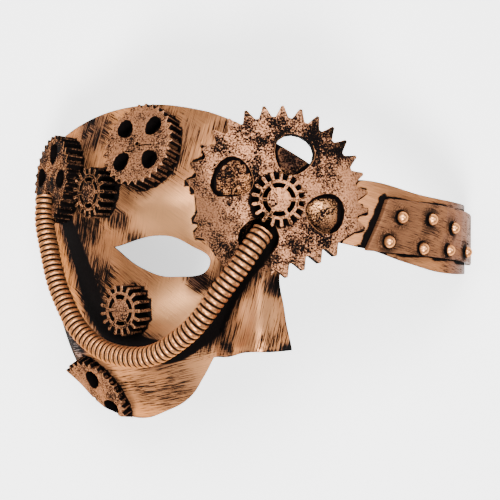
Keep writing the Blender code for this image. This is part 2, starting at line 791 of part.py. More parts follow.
def main():
    for thing in list(bpy.data.objects):
        bpy.data.objects.remove(thing, do_unlink=True)
    group = make_collection("steampunk_mask")
    cutters = make_collection("cutters")
    copper = make_material("aged copper", COPPER, 0.7, 0.42)
    dark_copper = make_material("dark copper", DARK_COPPER, 0.7, 0.5)
    origin = bpy.data.objects.new("mask_origin", None)
    bpy.context.scene.collection.objects.link(origin)

    loops = [OUTLINE, EYE_OUTLINE]
    outline = flat_solid("face outline", loops, OUTLINE_DEPTH, top=OUTLINE_DEPTH, rounded=True)
    as_cutter(outline, cutters, origin)
    seat = as_cutter(face_core("gear seat", PART_GAP, CORE_SHARE), cutters, origin)
    brow_seat = as_cutter(face_core("brow seat", PART_GAP, CORE_SHARE), cutters, origin)
    edge = flat_solid("brow edge", [OUTLINE], OUTLINE_DEPTH, top=OUTLINE_DEPTH, rounded=True)
    edge.scale = (1, BROW_EDGE_SPREAD, 1)
    edge.location = (PART_GAP, BIG_GEAR_HEIGHT * (1 - BROW_EDGE_SPREAD), 0)
    boolean(brow_seat, as_cutter(edge, cutters, origin), "INTERSECT")

    clearance = as_cutter(tube_clearance(), cutters, origin)

    finish(mask_shell(outline), group, origin, copper)
    finish(big_gear(brow_seat), group, origin, dark_copper)
    finish(hub_gear(), group, origin, dark_copper)
    trims = {"temple_gear": (clearance, "DIFFERENCE"), "jaw_gear": (outline, "INTERSECT")}
    for name, tip, x, y, spin, forward in PLATE_GEARS:
        height = y * FACE_LENGTH
        angle = angle_at(x * HALF_WIDTH, height)
        drawn = plate_gear_outlines(tip)
        gear = standing_gear(name, drawn, angle, height, spin, PLATE_GEAR_STAND, seat, forward)
        if name in trims:
            boolean(gear, *trims[name])
        finish(gear, group, origin, copper)
    for name, x, y in PEG_GEARS:
        height = y * FACE_LENGTH
        angle = angle_at(x * HALF_WIDTH, height)
        gear = standing_gear(name, peg_gear_outlines(), angle, height, 0, PEG_GEAR_STAND, seat)
        finish(gear, group, origin, copper)
    finish(corrugated_tube(), group, origin, copper)
    finish(band_plate(), group, origin, copper)
    for i, (angle, share) in enumerate(RIVETS):
        finish(rivet(f"rivet_{i + 1}", angle, share * FACE_LENGTH), group, origin, copper)
    rest_origin(origin, group)


main()
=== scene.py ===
"""Looks of a steampunk half mask: brushed copper shell, sponged gears, ribbed tube and riveted band.

Lengths are in metres and angles in degrees. The mask lies on its rear rims with the face up. Places on the
face are given by an angle about the head's axis and a height along Y from the eye line.
"""
import math

import bpy
from mathutils import Matrix, Vector
from mathutils.bvhtree import BVHTree


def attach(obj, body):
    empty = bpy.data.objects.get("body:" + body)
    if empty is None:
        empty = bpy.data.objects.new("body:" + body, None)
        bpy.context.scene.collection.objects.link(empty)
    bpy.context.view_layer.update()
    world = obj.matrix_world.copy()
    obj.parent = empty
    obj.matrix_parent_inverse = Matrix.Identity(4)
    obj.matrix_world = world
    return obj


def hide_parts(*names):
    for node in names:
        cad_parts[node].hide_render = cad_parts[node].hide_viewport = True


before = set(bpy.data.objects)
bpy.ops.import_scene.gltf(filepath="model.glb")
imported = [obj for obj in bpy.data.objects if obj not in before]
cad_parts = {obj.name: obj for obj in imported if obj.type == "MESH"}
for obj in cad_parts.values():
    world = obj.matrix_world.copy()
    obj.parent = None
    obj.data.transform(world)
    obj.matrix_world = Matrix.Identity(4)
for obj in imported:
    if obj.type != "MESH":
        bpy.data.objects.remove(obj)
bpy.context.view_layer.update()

bl_info = {
    "name": "Steampunk half mask",
    "version": (1, 0, 0),
    "blender": (4, 5, 0),
    "location": "View3D > Sidebar > Mask",
    "description": "Builds the looks of a copper half mask with gears over its solids",
    "category": "Object",
}

HEAD_RADIUS = 0.085
FACE_LENGTH = 0.117
HALF_WIDTH = 0.088
SHELL_WALL = 0.0022
# The face's middle, on the head's axis at the eye line, from the origin.
FACE_SHIFT = Vector((0.0009196, 0.0044148, 0.0))
CAMERA_HEIGHT = 0.380
CAMERA_X = -0.00208
CAMERA_Y = 0.006415
CAMERA_LENS = 63.65
CAMERA_SENSOR = 36
CAMERA_NEAREST = 0.01

NOSE_RISE = 0.0205
NOSE_HALF_WIDTH = 0.0145
BROW_DOME_RISE = 0.003
BROW_DOME_RADIUS = 0.0075
BROW_DOME_ANGLE = 15.0
BROW_DOME_HEIGHT = 0.0150

# The big gear's middle from the face's, and where the riveted plate starts.
GEAR_MIDDLE = Vector((0.0060, 0.0186))
PLATE_LEFT = 0.046
TUBE_RADIUS = 0.0037
TUBE_GROOVE = 0.0008
TUBE_PITCH = 0.00215
TUBE_SIDES = 28
RINGS_PER_PITCH = 6
GROOVE_POWER = 1.5
RIVET_COUNT = 7
RIVET_SIDES = 32
RIVET_LEVELS = 20
RIVET_CUT = 0.01

# A curve runs on past its ends by this share of a span.
CURVE_OVERRUN = 0.6
# Steps in the search for the angle of a place on the face.
HALVINGS = 30
# The sheet that the shell is cut from, a little past its outline: degrees, and shares of FACE_LENGTH.
SHEET_ANGLES = (-103, 98)
SHEET_HEIGHTS = (-0.575, 0.55)
CUTTER_HALF_HEIGHT = 0.065
CURVE_STEPS = 12
# A gear stands square to a patch of the face that reaches this many degrees each way.
GEAR_PATCH = 6.0
# Steps between two marks of the tube's route, for its shape and for the black beside it.
ROUTE_STEPS = 20
FOOT_STEPS = 8

MERGE_DISTANCE = 0.000002
CUTTER_MERGE_DISTANCE = 0.000001
FLAT_ANGLE = 0.02
BEVEL_ANGLE = 40
BEVEL_SEGMENTS = 2
SHELL_CREASE = 38
GEAR_CREASE = 30
TUBE_CREASE = 60
BIG_GEAR_BEVEL = 0.0002
ROUND_GEAR_BEVEL = 0.0003
SMALL_GEAR_BEVEL = 0.00016
PLATE_BEVEL = 0.0004
PLATE_CUTS = 5
HUB_AXIS = Vector((0.0696, 0.0698, 0.9951))

# Radius of the face about the head's axis, as shares of HEAD_RADIUS, at these angles.
SECTION_ANGLES = (-90, -75, -60, -45, -30, -15, 0, 15, 30, 60, 90)
# Each row is a section's height, as a share of FACE_LENGTH, and its radii.
SECTIONS = (
    (-0.564, (0.78, 0.74, 0.70, 0.67, 0.66, 0.67, 0.69, 0.73, 0.77, 0.96, 1.00)),
    (-0.462, (0.86, 0.82, 0.79, 0.76, 0.74, 0.745, 0.76, 0.80, 0.84, 0.98, 1.01)),
    (-0.359, (0.93, 0.89, 0.865, 0.835, 0.82, 0.81, 0.82, 0.86, 0.89, 1.00, 1.02)),
    (-0.256, (0.975, 0.945, 0.92, 0.895, 0.87, 0.86, 0.87, 0.905, 0.94, 1.005, 1.025)),
    (-0.154, (1.01, 0.975, 0.94, 0.915, 0.895, 0.885, 0.90, 0.935, 0.965, 1.01, 1.025)),
    (-0.051, (1.04, 0.995, 0.945, 0.895, 0.88, 0.900, 0.920, 0.950, 0.985, 1.012, 1.025)),
    (0.051, (1.058, 1.010, 0.960, 0.920, 0.910, 0.930, 0.945, 0.970, 1.00, 1.013, 1.025)),
    (0.154, (1.067, 1.025, 0.985, 0.970, 0.970, 0.975, 0.965, 0.972, 1.005, 1.013, 1.025)),
    (0.274, (1.060, 1.015, 0.975, 0.955, 0.955, 0.965, 0.965, 0.965, 0.975, 1.00, 1.02)),
    (0.393, (1.035, 0.985, 0.945, 0.920, 0.912, 0.920, 0.925, 0.925, 0.93, 0.98, 1.01)),
    (0.496, (0.99, 0.930, 0.890, 0.862, 0.845, 0.845, 0.85, 0.855, 0.87, 0.95, 1.00)),
)

# The nose above the face: height as a share of FACE_LENGTH, rise and half width as shares of the nose's.
NOSE_SECTIONS = (
    (-0.430, 0.00, 0.90),
    (-0.370, 0.20, 0.95),
    (-0.310, 0.80, 1.00),
    (-0.265, 1.00, 1.00),
    (-0.220, 0.88, 0.92),
    (-0.140, 0.54, 0.72),
    (-0.051, 0.21, 0.58),
    (0.000, 0.07, 0.52),
    (0.050, 0.00, 0.50),
)
NOSE_EDGE_POWER = 1.7
NOSE_SIDE_POWER = 1.25

# The shell's outline from the front: x as a share of HALF_WIDTH, y of FACE_LENGTH, corner or not.
OUTLINE = (
    (-1.20, 0.325, True),
    (-1.02, 0.337, False),
    (-0.858, 0.405, False),
    (-0.51, 0.463, False),
    (-0.216, 0.430, False),
    (-0.09, 0.392, True),
    (0.18, 0.275, False),
    (0.29, 0.217, False),
    (0.41, 0.223, False),
    (0.693, 0.183, False),
    (1.20, 0.166, True),
    (1.20, -0.062, True),
    (0.80, -0.058, False),
    (0.60, -0.022, False),
    (0.41, 0.022, False),
    (0.22, 0.036, False),
    (0.097, -0.020, False),
    (0.100, -0.165, False),
    (0.128, -0.272, True),
    (0.06, -0.268, False),
    (-0.05, -0.270, False),
    (-0.125, -0.296, False),
    (-0.178, -0.306, True),
    (-0.220, -0.368, False),
    (-0.283, -0.441, False),
    (-0.394, -0.499, False),
    (-0.505, -0.536, False),
    (-0.605, -0.531, False),
    (-0.709, -0.492, False),
    (-0.800, -0.428, False),
    (-0.875, -0.385, True),
    (-1.20, -0.360, True),
)

# The eye hole in the same shares.
EYE_OUTLINE = (
    (-0.600, 0.026, True),
    (-0.375, 0.060, False),
    (-0.270, 0.031, False),
    (-0.191, -0.022, False),
    (-0.340, -0.064, False),
    (-0.480, -0.038, False),
)

# The tube's route: the place on the face under it in the same shares, and how far its centre stands off
# the face as a share of TUBE_RADIUS.
TUBE_ROUTE = (
    (-0.8622, 0.190, 1.742),
    (-0.8411, 0.110, 2.251),
    (-0.7964, 0.023, 2.770),
    (-0.7520, -0.066, 3.132),
    (-0.7238, -0.130, 2.983),
    (-0.6654, -0.212, 2.922),
    (-0.5992, -0.261, 3.034),
    (-0.5189, -0.291, 3.342),
    (-0.4110, -0.300, 3.764),
    (-0.3230, -0.282, 4.001),
    (-0.2401, -0.231, 4.150),
    (-0.1864, -0.183, 4.183),
    (-0.1325, -0.114, 3.963),
    (-0.0655, -0.029, 3.117),
    (-0.0160, 0.034, 2.666),
    (0.0145, 0.070, 2.178),
)

# Gears on the face: node, x as a share of HALF_WIDTH, y of FACE_LENGTH, tip radius, forward lean.
FACE_GEARS = (
    ("temple_gear", -0.8541, 0.248, 0.0168, 0.0),
    ("forehead_gear", -0.4481, 0.320, 0.0150, 0.0),
    ("jaw_gear", -0.6930, -0.462, 0.0163, 0.4),
    ("temple_small_gear", -0.6452, 0.193, 0.0092, 0.0),
    ("cheek_small_gear", -0.5223, -0.165, 0.0092, 0.0),
)

# Dark places of the shell, partly patina smears and partly painted shade beside and under the nose and on
# the left side: x and y from the face's middle, radius and strength.
DARK_SPOTS = (
    (0.0003, 0.0060, 0.0095, 1.0),
    (0.0060, -0.0010, 0.0060, 0.8),
    (0.0058, -0.0100, 0.0062, 1.0),
    (-0.0210, -0.0085, 0.0075, 0.9),
    (-0.0040, -0.0330, 0.0036, 1.0),
    (0.0030, -0.0330, 0.0038, 1.0),
    (0.0095, -0.0320, 0.0050, 1.0),
    (-0.0110, -0.0310, 0.0040, 0.8),
    (-0.0610, -0.0060, 0.0130, 0.6),
    (-0.0640, 0.0090, 0.0110, 0.65),
    (-0.0600, 0.0150, 0.0060, 0.6),
    (-0.0500, 0.0130, 0.0070, 0.7),
    (-0.0440, 0.0060, 0.0060, 0.6),
    (-0.0400, 0.0230, 0.0060, 0.7),
    (-0.0270, -0.0450, 0.0100, 0.6),
    (-0.0330, -0.0510, 0.0080, 0.5),
    (-0.0420, -0.0500, 0.0100, 0.45),
    (-0.0250, 0.0430, 0.0080, 0.5),
    (-0.0130, 0.0430, 0.0060, 0.5),
    (-0.0610, 0.0460, 0.0130, 0.7),
    (-0.0720, -0.0330, 0.0110, 1.0),
    (0.0060, -0.0200, 0.0140, 0.4),
    (-0.0080, -0.0240, 0.0080, 0.3),
    (-0.0700, 0.0360, 0.0080, 0.6),
    (-0.0092, 0.0300, 0.0085, 0.5),
    (0.0218, 0.0090, 0.0070, 0.6),
    (0.0110, 0.0330, 0.0090, 0.9),
)

# Places of the big gear with more or fewer flecks: x, y, where the change is full, where it ends, and how
# much it is.
GEAR_SPOTS = (
    (0.0060, 0.0186, 0.0078, 0.0102, 0.45),
    (0.0360, 0.0200, 0.0040, 0.0140, -0.16),
    (0.0240, 0.0410, 0.0030, 0.0150, 0.13),
    (0.0160, 0.0040, 0.0020, 0.0110, 0.05),
    (-0.0180, 0.0180, 0.0030, 0.0120, -0.06),
    (0.0020, 0.0420, 0.0040, 0.0140, 0.06),
    (-0.0120, 0.0020, 0.0020, 0.0080, 0.05),
)

# Painted highlights of the shell, in the form of the dark ones.
HIGHLIGHT_SPOTS = (
    (-0.0330, 0.0140, 0.0150, 0.8),
    (-0.0220, 0.0110, 0.0080, 0.8),
    (-0.0280, -0.0190, 0.0150, 1.0),
    (-0.0230, -0.0400, 0.0120, 0.4),
    (0.0010, -0.0190, 0.0090, 0.45),
    (0.0216, 0.0160, 0.0062, 0.9),
    (-0.0700, 0.0300, 0.0060, 0.2),
)
SPOT_CORE = 0.35

# Brush streaks by part of the shell: turn about Z, and how fine they are along X, Y and Z.
UPRIGHT_STREAKS = (14, (2900.0, 110.0, 120.0))
SLANTED_STREAKS = (36, (130.0, 2900.0, 120.0))
CHIN_STREAKS = (-16, (110.0, 2900.0, 120.0))
BAND_STREAKS = (14, (170.0, 3900.0, 170.0))
# Where the streaks change: heights at the chin, x at the band and at the cheek.
CHIN_TOP = (-0.034, -0.024)
BAND_START = (0.026, 0.034)
CHEEK_END = (-0.020, -0.012)
CROSSED_LEVELS = (0.46, 0.56)

# Noises: scale, detail and roughness.
STREAK_NOISE = (1.0, 4.0, 0.65)
CROSSED_NOISE = (42.0, 2.0, 0.6)
BLOTCH_NOISE = (75.0, 3.0, 0.6)
FLECK_NOISE = (1700.0, 3.0, 0.75)
PATCH_NOISE = (170.0, 3.0, 0.55)
LINING_NOISE = (180.0, 3.0, 0.6)

# Black on the shell: what each cause adds, with painted shade and grime adding and painted highlights taking
# away, and the levels at which black starts and is full.
STREAK_SHARE = 1.3
BLOTCH_SHARE = 0.55
SHADE_AND_GRIME_SHARE = 0.22
LIGHT_SHARE = -0.22
BAND_SHARE = -0.15
BLACK_LEVELS = (1.06, 1.20)
PATINA_SHARE = 0.1
RAGGED_SHARE = 0.6
PATINA_AND_SHADE_LEVELS = (0.68, 0.92)
# Shares of brown, of dark brown painted shade with grime and of painted highlight in the copper, and how
# much the painted shade with grime dulls the metal.
BROWN_LEVELS = (0.25, 0.66)
BROWN_MOST = 0.65
SHADE_AND_SOIL_SHARE = 0.85
HIGHLIGHT_SHARE = 0.6
DULL_SHARE = 0.7

# Dabbed flecks: what their patches add, the levels at which they start and are full, and their amounts.
PATCH_SHARE = 0.65
FLECK_LEVELS = (1.30, 1.46)
SHELL_FLECKS = 0.60
BIG_GEAR_FLECKS = 0.565
GEAR_FLECKS = 0.53
# The temple gears, turned to the side, take more black flecks: painted shade.
SHADED_GEAR_FLECKS = 0.64
TUBE_FLECKS = -0.02
RIVET_FLECKS = 0.0
# Grain from copper to brown, wear on edges, depth of the tube's grooves from copper to black.
GEAR_GRAIN = (0.35, 0.68)
TUBE_GRAIN = (0.3, 0.75)
EDGE_SHARE = 0.75
GROOVE_LEVELS = (0.06, 0.50)
LINING_LEVELS = (0.35, 0.7)

# Roughness and metal, each from clean copper to full black.
SHELL_ROUGHNESS = (0.34, 0.85)
SHELL_METAL = (0.88, 0.0)
GEAR_ROUGHNESS = (0.40, 0.85)
GEAR_METAL = (0.80, 0.0)
TUBE_ROUGHNESS = (0.35, 0.8)
TUBE_METAL = (0.85, 0.2)
RIVET_ROUGHNESS = (0.29, 0.8)
RIVET_METAL = 0.85
LINING_ROUGHNESS = 0.6
# A dull paint's weak reflection, and its tint.
SPECULAR_LEVEL = 0.08
SPECULAR_IOR = 1.2
SPECULAR_TINT = (0.55, 0.36, 0.25, 1)
# Bumps: strength and depth.
SHELL_BUMP = (0.35, 0.00025)
GEAR_BUMP = (0.45, 0.0003)
TUBE_BUMP = (0.12, 0.0002)
RIVET_BUMP = (0.15, 0.0002)
LINING_BUMP = (0.2, 0.0004)

# Side walls by a face's slant to the axis: full black and none.
GEAR_WALLS = (0.35, 0.75)
RIVET_WALLS = (0.12, 0.4)
# The outside of a gear's teeth is less black: slant, share of the tip radius, and share of the black.
RIM_SLANT = 0.6
RIM_START = 0.84
RIM_BLACK = 0.62
# Broken edges are narrow faces near this slant.
EDGE_AREA = 4e-7
EDGE_SLANT = 0.8
EDGE_SPREAD = 0.18
BORDER_SLANT = 0.3
BORDER_BLACK = 0.55
LINING_SLANT = -0.25

# Beside the raised pieces, patina and painted shade: how strong, full up to the first place and none from
# the second on.
BIG_GEAR_BLACK = (1.0, 0.0007, 0.0015)
PLATE_BLACK = (1.0, 0.0006, 0.0014)
PLATE_START_BLACK = (1.0, 0.0014, 0.0030)
PLATE_SHADE_AND_SOIL = (0.6, 0.0010, 0.0045)
# Round gears: the same in shares of the tip radius, then a rest in metres, within a depth along the axis.
GEAR_BLACK = (1.0, 0.97, 1.01, 0.0005)
GEAR_SHADE_AND_SOIL = (0.7, 1.00, 1.06, 0.0020)
GEAR_MARK_DEPTH = 0.012
# The black band beside the tube on the side of the eye and outside, patina and painted shadow of the tube:
# its width, and what is added to it along shares of the route.
TUBE_INNER_BLACK = (0.0032, ((0.0034, 0.42, 0.58), (-0.0024, 0.20, 0.40)))
TUBE_OUTER_BLACK = (0.0030, ((0.0020, 0.75, 0.60),))
TUBE_BLACK_FADE = 0.0030
TUBE_SHADE_AND_SOIL = (0.001, 0.008)
# Painted shade by the slope of the shell, left and right of its middle, and by x toward the band and the
# band's end.
LEFT_SLOPE_SHADE_BLACK = (0.70, 0.22, 0.60)
RIGHT_SLOPE_SHADE_BLACK = (0.50, 0.22, 0.60)
SLOPE_SHADE_BROWN = (0.65, 0.30, 0.72)
BAND_ROOT_SHADE = (0.5, 0.048, 0.030)
BAND_END_SHADE = (1.1, 0.088, 0.040)
# Painted highlights take away this share of the painted shade, dark spots add to it, and the disc under the
# big gear is dabbed.
HIGHLIGHT_CLEARS_SHADE = 0.6
DARK_SPOT_GAIN = 1.3
DABBED_DISC = (1.0, 0.0235, 0.0255)
# On the riveted plate: darker all over and toward the lower border, painted shade toward the band's end, and
# patina with painted shadow round the rivets.
PLATE_LEAST_DARKENING = 0.90
PLATE_LOW_EDGE_DARKENING = (0.1, 0.001, 0.006)
PLATE_END_SHADE = (0.9, 0.088, 0.050)
RIVET_SHADE_AND_SOIL = (0.8, 0.0, 0.003)
RIVET_BLACK = (0.8, 0.0004, 0.0022)
RIVET_DABS = (0.9, 0.0010, 0.0045)

# Sockets of a Mix node.
MIX_FACTOR = 0
MIX_NUMBERS = (2, 3)
MIX_NUMBER = 0
MIX_COLOURS = (6, 7)
MIX_COLOUR = 2

FLOOR_SIZE = 40
FLOOR_COLOUR = (0.9, 0.9, 0.9, 1)
FLOOR_ROUGHNESS = 0.9
WHITE = (1, 1, 1, 1)
# Studio lights: name, place, where it points, side and share of the main power.
LIGHTS = (
    ("key", (-0.02, 0.42, 0.80), (-0.01, 0, 0.05), 0.45, 0.8),
    ("left", (-0.40, 0.05, 0.75), (-0.01, 0, 0.05), 0.3, 0.2),
    ("fill", (0.50, 0.05, 0.65), (0.01, 0, 0.05), 0.4, 0.22),
    ("front", (-0.05, -0.42, 0.75), (-0.02, 0, 0.05), 0.22, 0.9),
)


def spline(knots, values, at):
    """The smooth curve through the values at one place."""
    last = len(knots) - 2
    i = 0
    while i < last and at > knots[i + 1]:
        i += 1
    before = max(i - 1, 0)
    after = min(i + 2, last + 1)
    span = knots[i + 1] - knots[i]
    start_slope = (values[i + 1] - values[before]) / (knots[i + 1] - knots[before])
    end_slope = (values[after] - values[i]) / (knots[after] - knots[i])
    t = min(max((at - knots[i]) / span, -CURVE_OVERRUN), 1 + CURVE_OVERRUN)
    return (
        values[i] * (2 * t**3 - 3 * t**2 + 1)
        + values[i + 1] * (3 * t**2 - 2 * t**3)
        + start_slope * span * (t**3 - 2 * t**2 + t)
        + end_slope * span * (t**3 - t**2)
    )


def nose_lift(across, height):
    """How far the nose stands off the face at a distance across from its ridge."""
    heights = [row[0] * FACE_LENGTH for row in NOSE_SECTIONS]
    if not heights[0] < height < heights[-1]:
        return 0.0
    rise = spline(heights, [row[1] for row in NOSE_SECTIONS], height) * NOSE_RISE
    half = spline(heights, [row[2] for row in NOSE_SECTIONS], height) * NOSE_HALF_WIDTH
    share = min(abs(across) / half, 1.0)
    return max(rise, 0.0) * (1 - share**NOSE_EDGE_POWER) ** NOSE_SIDE_POWER


def dome_lift(angle, height):
    """The brow's round bulge inside the big gear's side hole."""
    across = math.radians(angle - BROW_DOME_ANGLE) * HEAD_RADIUS
    share = math.hypot(across, height - BROW_DOME_HEIGHT) / BROW_DOME_RADIUS
    if share >= 1:
        return 0.0
    return BROW_DOME_RISE * (1 - share**2) ** 1.5


def face_radius(angle, height):
    """The outer surface's distance from the head's axis."""
    heights = [row[0] * FACE_LENGTH for row in SECTIONS]
    at_angle = [spline(SECTION_ANGLES, row[1], angle) for row in SECTIONS]
    radius = spline(heights, at_angle, height) * HEAD_RADIUS
    across = math.sin(math.radians(angle)) * radius
    return radius + nose_lift(across, height) + dome_lift(angle, height)


def face_point(angle, height):
    """A point of the outer surface, from the face's middle."""
    radius = face_radius(angle, height)
    turn = math.radians(angle)
    return Vector((radius * math.sin(turn), height, radius * math.cos(turn)))


def face_normal(angle, height, reach):
    """The outward direction of the surface, taken over a patch of some degrees."""
    step = math.radians(reach) * HEAD_RADIUS
    around = face_point(angle + reach, height) - face_point(angle - reach, height)
    along = face_point(angle, height + step) - face_point(angle, height - step)
    return around.cross(along).normalized()


def head_axis(point):
    """The direction away from the head's axis."""
    return Vector((point.x - FACE_SHIFT.x, 0, point.z)).normalized()


def angle_at(x, height):
    """The angle at which the face has this x."""
    low = -90.0
    high = 90.0
    for _ in range(HALVINGS):
        middle = (low + high) / 2
        if face_point(middle, height).x < x:
            low = middle
        else:
            high = middle
    return middle


def fade(value, full, none):
    """1 up to full, 0 from none on, smooth between."""
    share = min(max((none - value) / (none - full), 0.0), 1.0)
    return share * share * (3 - 2 * share)


def faded(value, most, full, none):
    """The strength of a mark that fades with a value."""
    return most * fade(value, full, none)


def deselect_all():
    """Nothing stays selected."""
    for thing in list(bpy.context.selected_objects):
        thing.select_set(False)


def make_active(piece):
    """Only this piece is selected."""
    deselect_all()
    piece.select_set(True)
    bpy.context.view_layer.objects.active = piece


def apply_modifier(piece, kind, name, **settings):
    """Adds a modifier with its settings and applies it."""
    make_active(piece)
    change = piece.modifiers.new(name, kind)
    for key, value in settings.items():
        setattr(change, key, value)
    bpy.ops.object.modifier_apply(modifier=change.name)


def shade(piece, degrees):
    """Smooth shading up to an angle."""
    make_active(piece)
    bpy.ops.object.shade_smooth_by_angle(angle=math.radians(degrees))


def check_built(piece):
    """Stops the script when a piece came out empty or open."""
    uses = {}
    for polygon in piece.data.polygons:
        for key in polygon.edge_keys:
            uses[key] = uses.get(key, 0) + 1
    if not uses or any(count != 2 for count in uses.values()):
        raise RuntimeError(f"{piece.name} is not a closed piece")


def merge_doubles(piece, distance=MERGE_DISTANCE):
    """Makes one point of points that lie on each other."""
    make_active(piece)
    bpy.ops.object.mode_set(mode="EDIT")
    bpy.ops.mesh.select_all(action="SELECT")
    bpy.ops.mesh.remove_doubles(threshold=distance)
    bpy.ops.object.mode_set(mode="OBJECT")


def fresh_copy(node, name, bevel):
    """A merged copy of a solid, with its sharp edges broken."""
    piece = bpy.data.objects.new(name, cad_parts[node].data.copy())
    bpy.context.scene.collection.objects.link(piece)
    piece.data.materials.clear()
    merge_doubles(piece)
    bpy.ops.object.mode_set(mode="EDIT")
    bpy.ops.mesh.select_all(action="SELECT")
    bpy.ops.mesh.dissolve_limited(angle_limit=math.radians(FLAT_ANGLE))
    bpy.ops.object.mode_set(mode="OBJECT")
    apply_modifier(
        piece, "BEVEL", "Broken edges", width=bevel, segments=BEVEL_SEGMENTS, limit_method="ANGLE",
        angle_limit=math.radians(BEVEL_ANGLE), use_clamp_overlap=False, harden_normals=False,
    )
    check_built(piece)
    return piece


def set_attribute(piece, name, domain, values):
    """Writes one float to each vertex or face."""
    made = piece.data.attributes.new(name, "FLOAT", domain)
    made.data.foreach_set("value", values)


def give(piece, *materials):
    """The piece's materials, in slot order."""
    piece.data.materials.clear()
    for material in materials:
        piece.data.materials.append(material)


def is_output(value):
    """Whether a value is a (node, output) pair."""
    return isinstance(value, tuple) and isinstance(value[0], bpy.types.Node)


def feed(tree, value, node, entry):
    """Links a (node, output) pair to a node's input, or writes a plain value there."""
    if is_output(value):
        start, output = value
        tree.links.new(start.outputs[output], node.inputs[entry])
    else:
        node.inputs[entry].default_value = value


def new_group(name, inputs, outputs):
    """An empty node group with named float or vector sockets."""
    tree = bpy.data.node_groups.new(name, "ShaderNodeTree")
    for label, kind, default in inputs:
        socket = tree.interface.new_socket(label, in_out="INPUT", socket_type=kind)
        if default is not None:
            socket.default_value = default
    for label, kind in outputs:
        tree.interface.new_socket(label, in_out="OUTPUT", socket_type=kind)
    entry = tree.nodes.new("NodeGroupInput")
    leave = tree.nodes.new("NodeGroupOutput")
    return tree, entry, leave


def math_node(tree, operation, *values, clamp=False):
    """The output of a Math node on numbers or (node, output) pairs."""
    node = tree.nodes.new("ShaderNodeMath")
    node.operation = operation
    node.use_clamp = clamp
    for i, value in enumerate(values):
        feed(tree, value, node, i)
    return node, 0


def times(tree, value, share):
    """A value times a number or another value."""
    return math_node(tree, "MULTIPLY", value, share)


def plus(tree, first, *others):
    """The sum of some values, added in order."""
    total = first
    for value in others:
        total = math_node(tree, "ADD", total, value)
    return total


def range_node(tree, value, low, high, to_low=0.0, to_high=1.0):
    """The output of a smooth Map Range node."""
    node = tree.nodes.new("ShaderNodeMapRange")
    node.interpolation_type = "SMOOTHSTEP"
    feed(tree, value, node, "Value")
    feed(tree, low, node, "From Min")
    feed(tree, high, node, "From Max")
    feed(tree, to_low, node, "To Min")
    feed(tree, to_high, node, "To Max")
    return node, "Result"


def between(tree, share, ends):
    """A value that goes from one end to the other as a share goes from 0 to 1."""
    return range_node(tree, share, 0.0, 1.0, *ends)


def mix_number(tree, factor, first, second):
    """The output of a Mix node between two numbers."""
    node = tree.nodes.new("ShaderNodeMix")
    feed(tree, factor, node, MIX_FACTOR)
    for entry, value in zip(MIX_NUMBERS, (first, second)):
        feed(tree, value, node, entry)
    return node, MIX_NUMBER


def mix_colour(tree, factor, first, second):
    """The output of a Mix node between two colours."""
    node = tree.nodes.new("ShaderNodeMix")
    node.data_type = "RGBA"
    feed(tree, factor, node, MIX_FACTOR)
    for entry, value in zip(MIX_COLOURS, (first, second)):
        feed(tree, value if is_output(value) else (*value, 1.0), node, entry)
    return node, MIX_COLOUR


def noise_node(tree, vector, scale, detail, roughness):
    """The output of a Noise Texture node on a vector."""
    node = tree.nodes.new("ShaderNodeTexNoise")
    feed(tree, vector, node, "Vector")
    feed(tree, scale, node, "Scale")
    feed(tree, detail, node, "Detail")
    feed(tree, roughness, node, "Roughness")
    return node, "Fac"


def attribute_node(tree, name):
    """A float that the piece carries."""
    node = tree.nodes.new("ShaderNodeAttribute")
    node.attribute_name = name
    return node, "Fac"


def parts_of(tree, vector):
    """A node that parts a vector into X, Y and Z."""
    node = tree.nodes.new("ShaderNodeSeparateXYZ")
    feed(tree, vector, node, "Vector")
    return node


def brush_group():
    """Fine streaks left by a brush, drawn out along one direction."""
    tree, entry, leave = new_group(
        "brush_streaks",
        (
            ("Vector", "NodeSocketVector", None),
            ("Turn", "NodeSocketVector", (0.0, 0.0, 0.0)),
            ("Scale", "NodeSocketVector", (1000.0, 100.0, 1000.0)),
        ),
        (("Streak", "NodeSocketFloat"),),
    )
    turned = tree.nodes.new("ShaderNodeMapping")
    feed(tree, (entry, "Vector"), turned, "Vector")
    feed(tree, (entry, "Turn"), turned, "Rotation")
    drawn = tree.nodes.new("ShaderNodeVectorMath")
    drawn.operation = "MULTIPLY"
    feed(tree, (turned, "Vector"), drawn, 0)
    feed(tree, (entry, "Scale"), drawn, 1)
    feed(tree, noise_node(tree, (drawn, "Vector"), *STREAK_NOISE), leave, "Streak")
    return tree


def sponge_group():
    """Dabbed paint: small dark flecks gathered in patches."""
    tree, entry, leave = new_group(
        "sponge_flecks",
        (("Vector", "NodeSocketVector", None), ("Amount", "NodeSocketFloat", 0.5)),
        (("Fleck", "NodeSocketFloat"), ("Grain", "NodeSocketFloat")),
    )
    fine = noise_node(tree, (entry, "Vector"), *FLECK_NOISE)
    patch = noise_node(tree, (entry, "Vector"), *PATCH_NOISE)
    level = plus(tree, fine, times(tree, patch, PATCH_SHARE), (entry, "Amount"))
    feed(tree, range_node(tree, level, *FLECK_LEVELS), leave, "Fleck")
    feed(tree, fine, leave, "Grain")
    return tree


def placed_group(tree, group, vector):
    """A group node reading a vector."""
    node = tree.nodes.new("ShaderNodeGroup")
    node.node_tree = group
    feed(tree, vector, node, "Vector")
    return node


def placed_streaks(tree, streaks, place, way):
    """Streaks with their own turn and fineness."""
    turn, scale = way
    node = placed_group(tree, streaks, place)
    feed(tree, (0.0, 0.0, math.radians(turn)), node, "Turn")
    feed(tree, scale, node, "Scale")
    return node, "Streak"


def placed_flecks(tree, flecks, place, amount):
    """Flecks of a given amount: where they lie, and their grain."""
    node = placed_group(tree, flecks, place)
    feed(tree, amount, node, "Amount")
    return (node, "Fleck"), (node, "Grain")


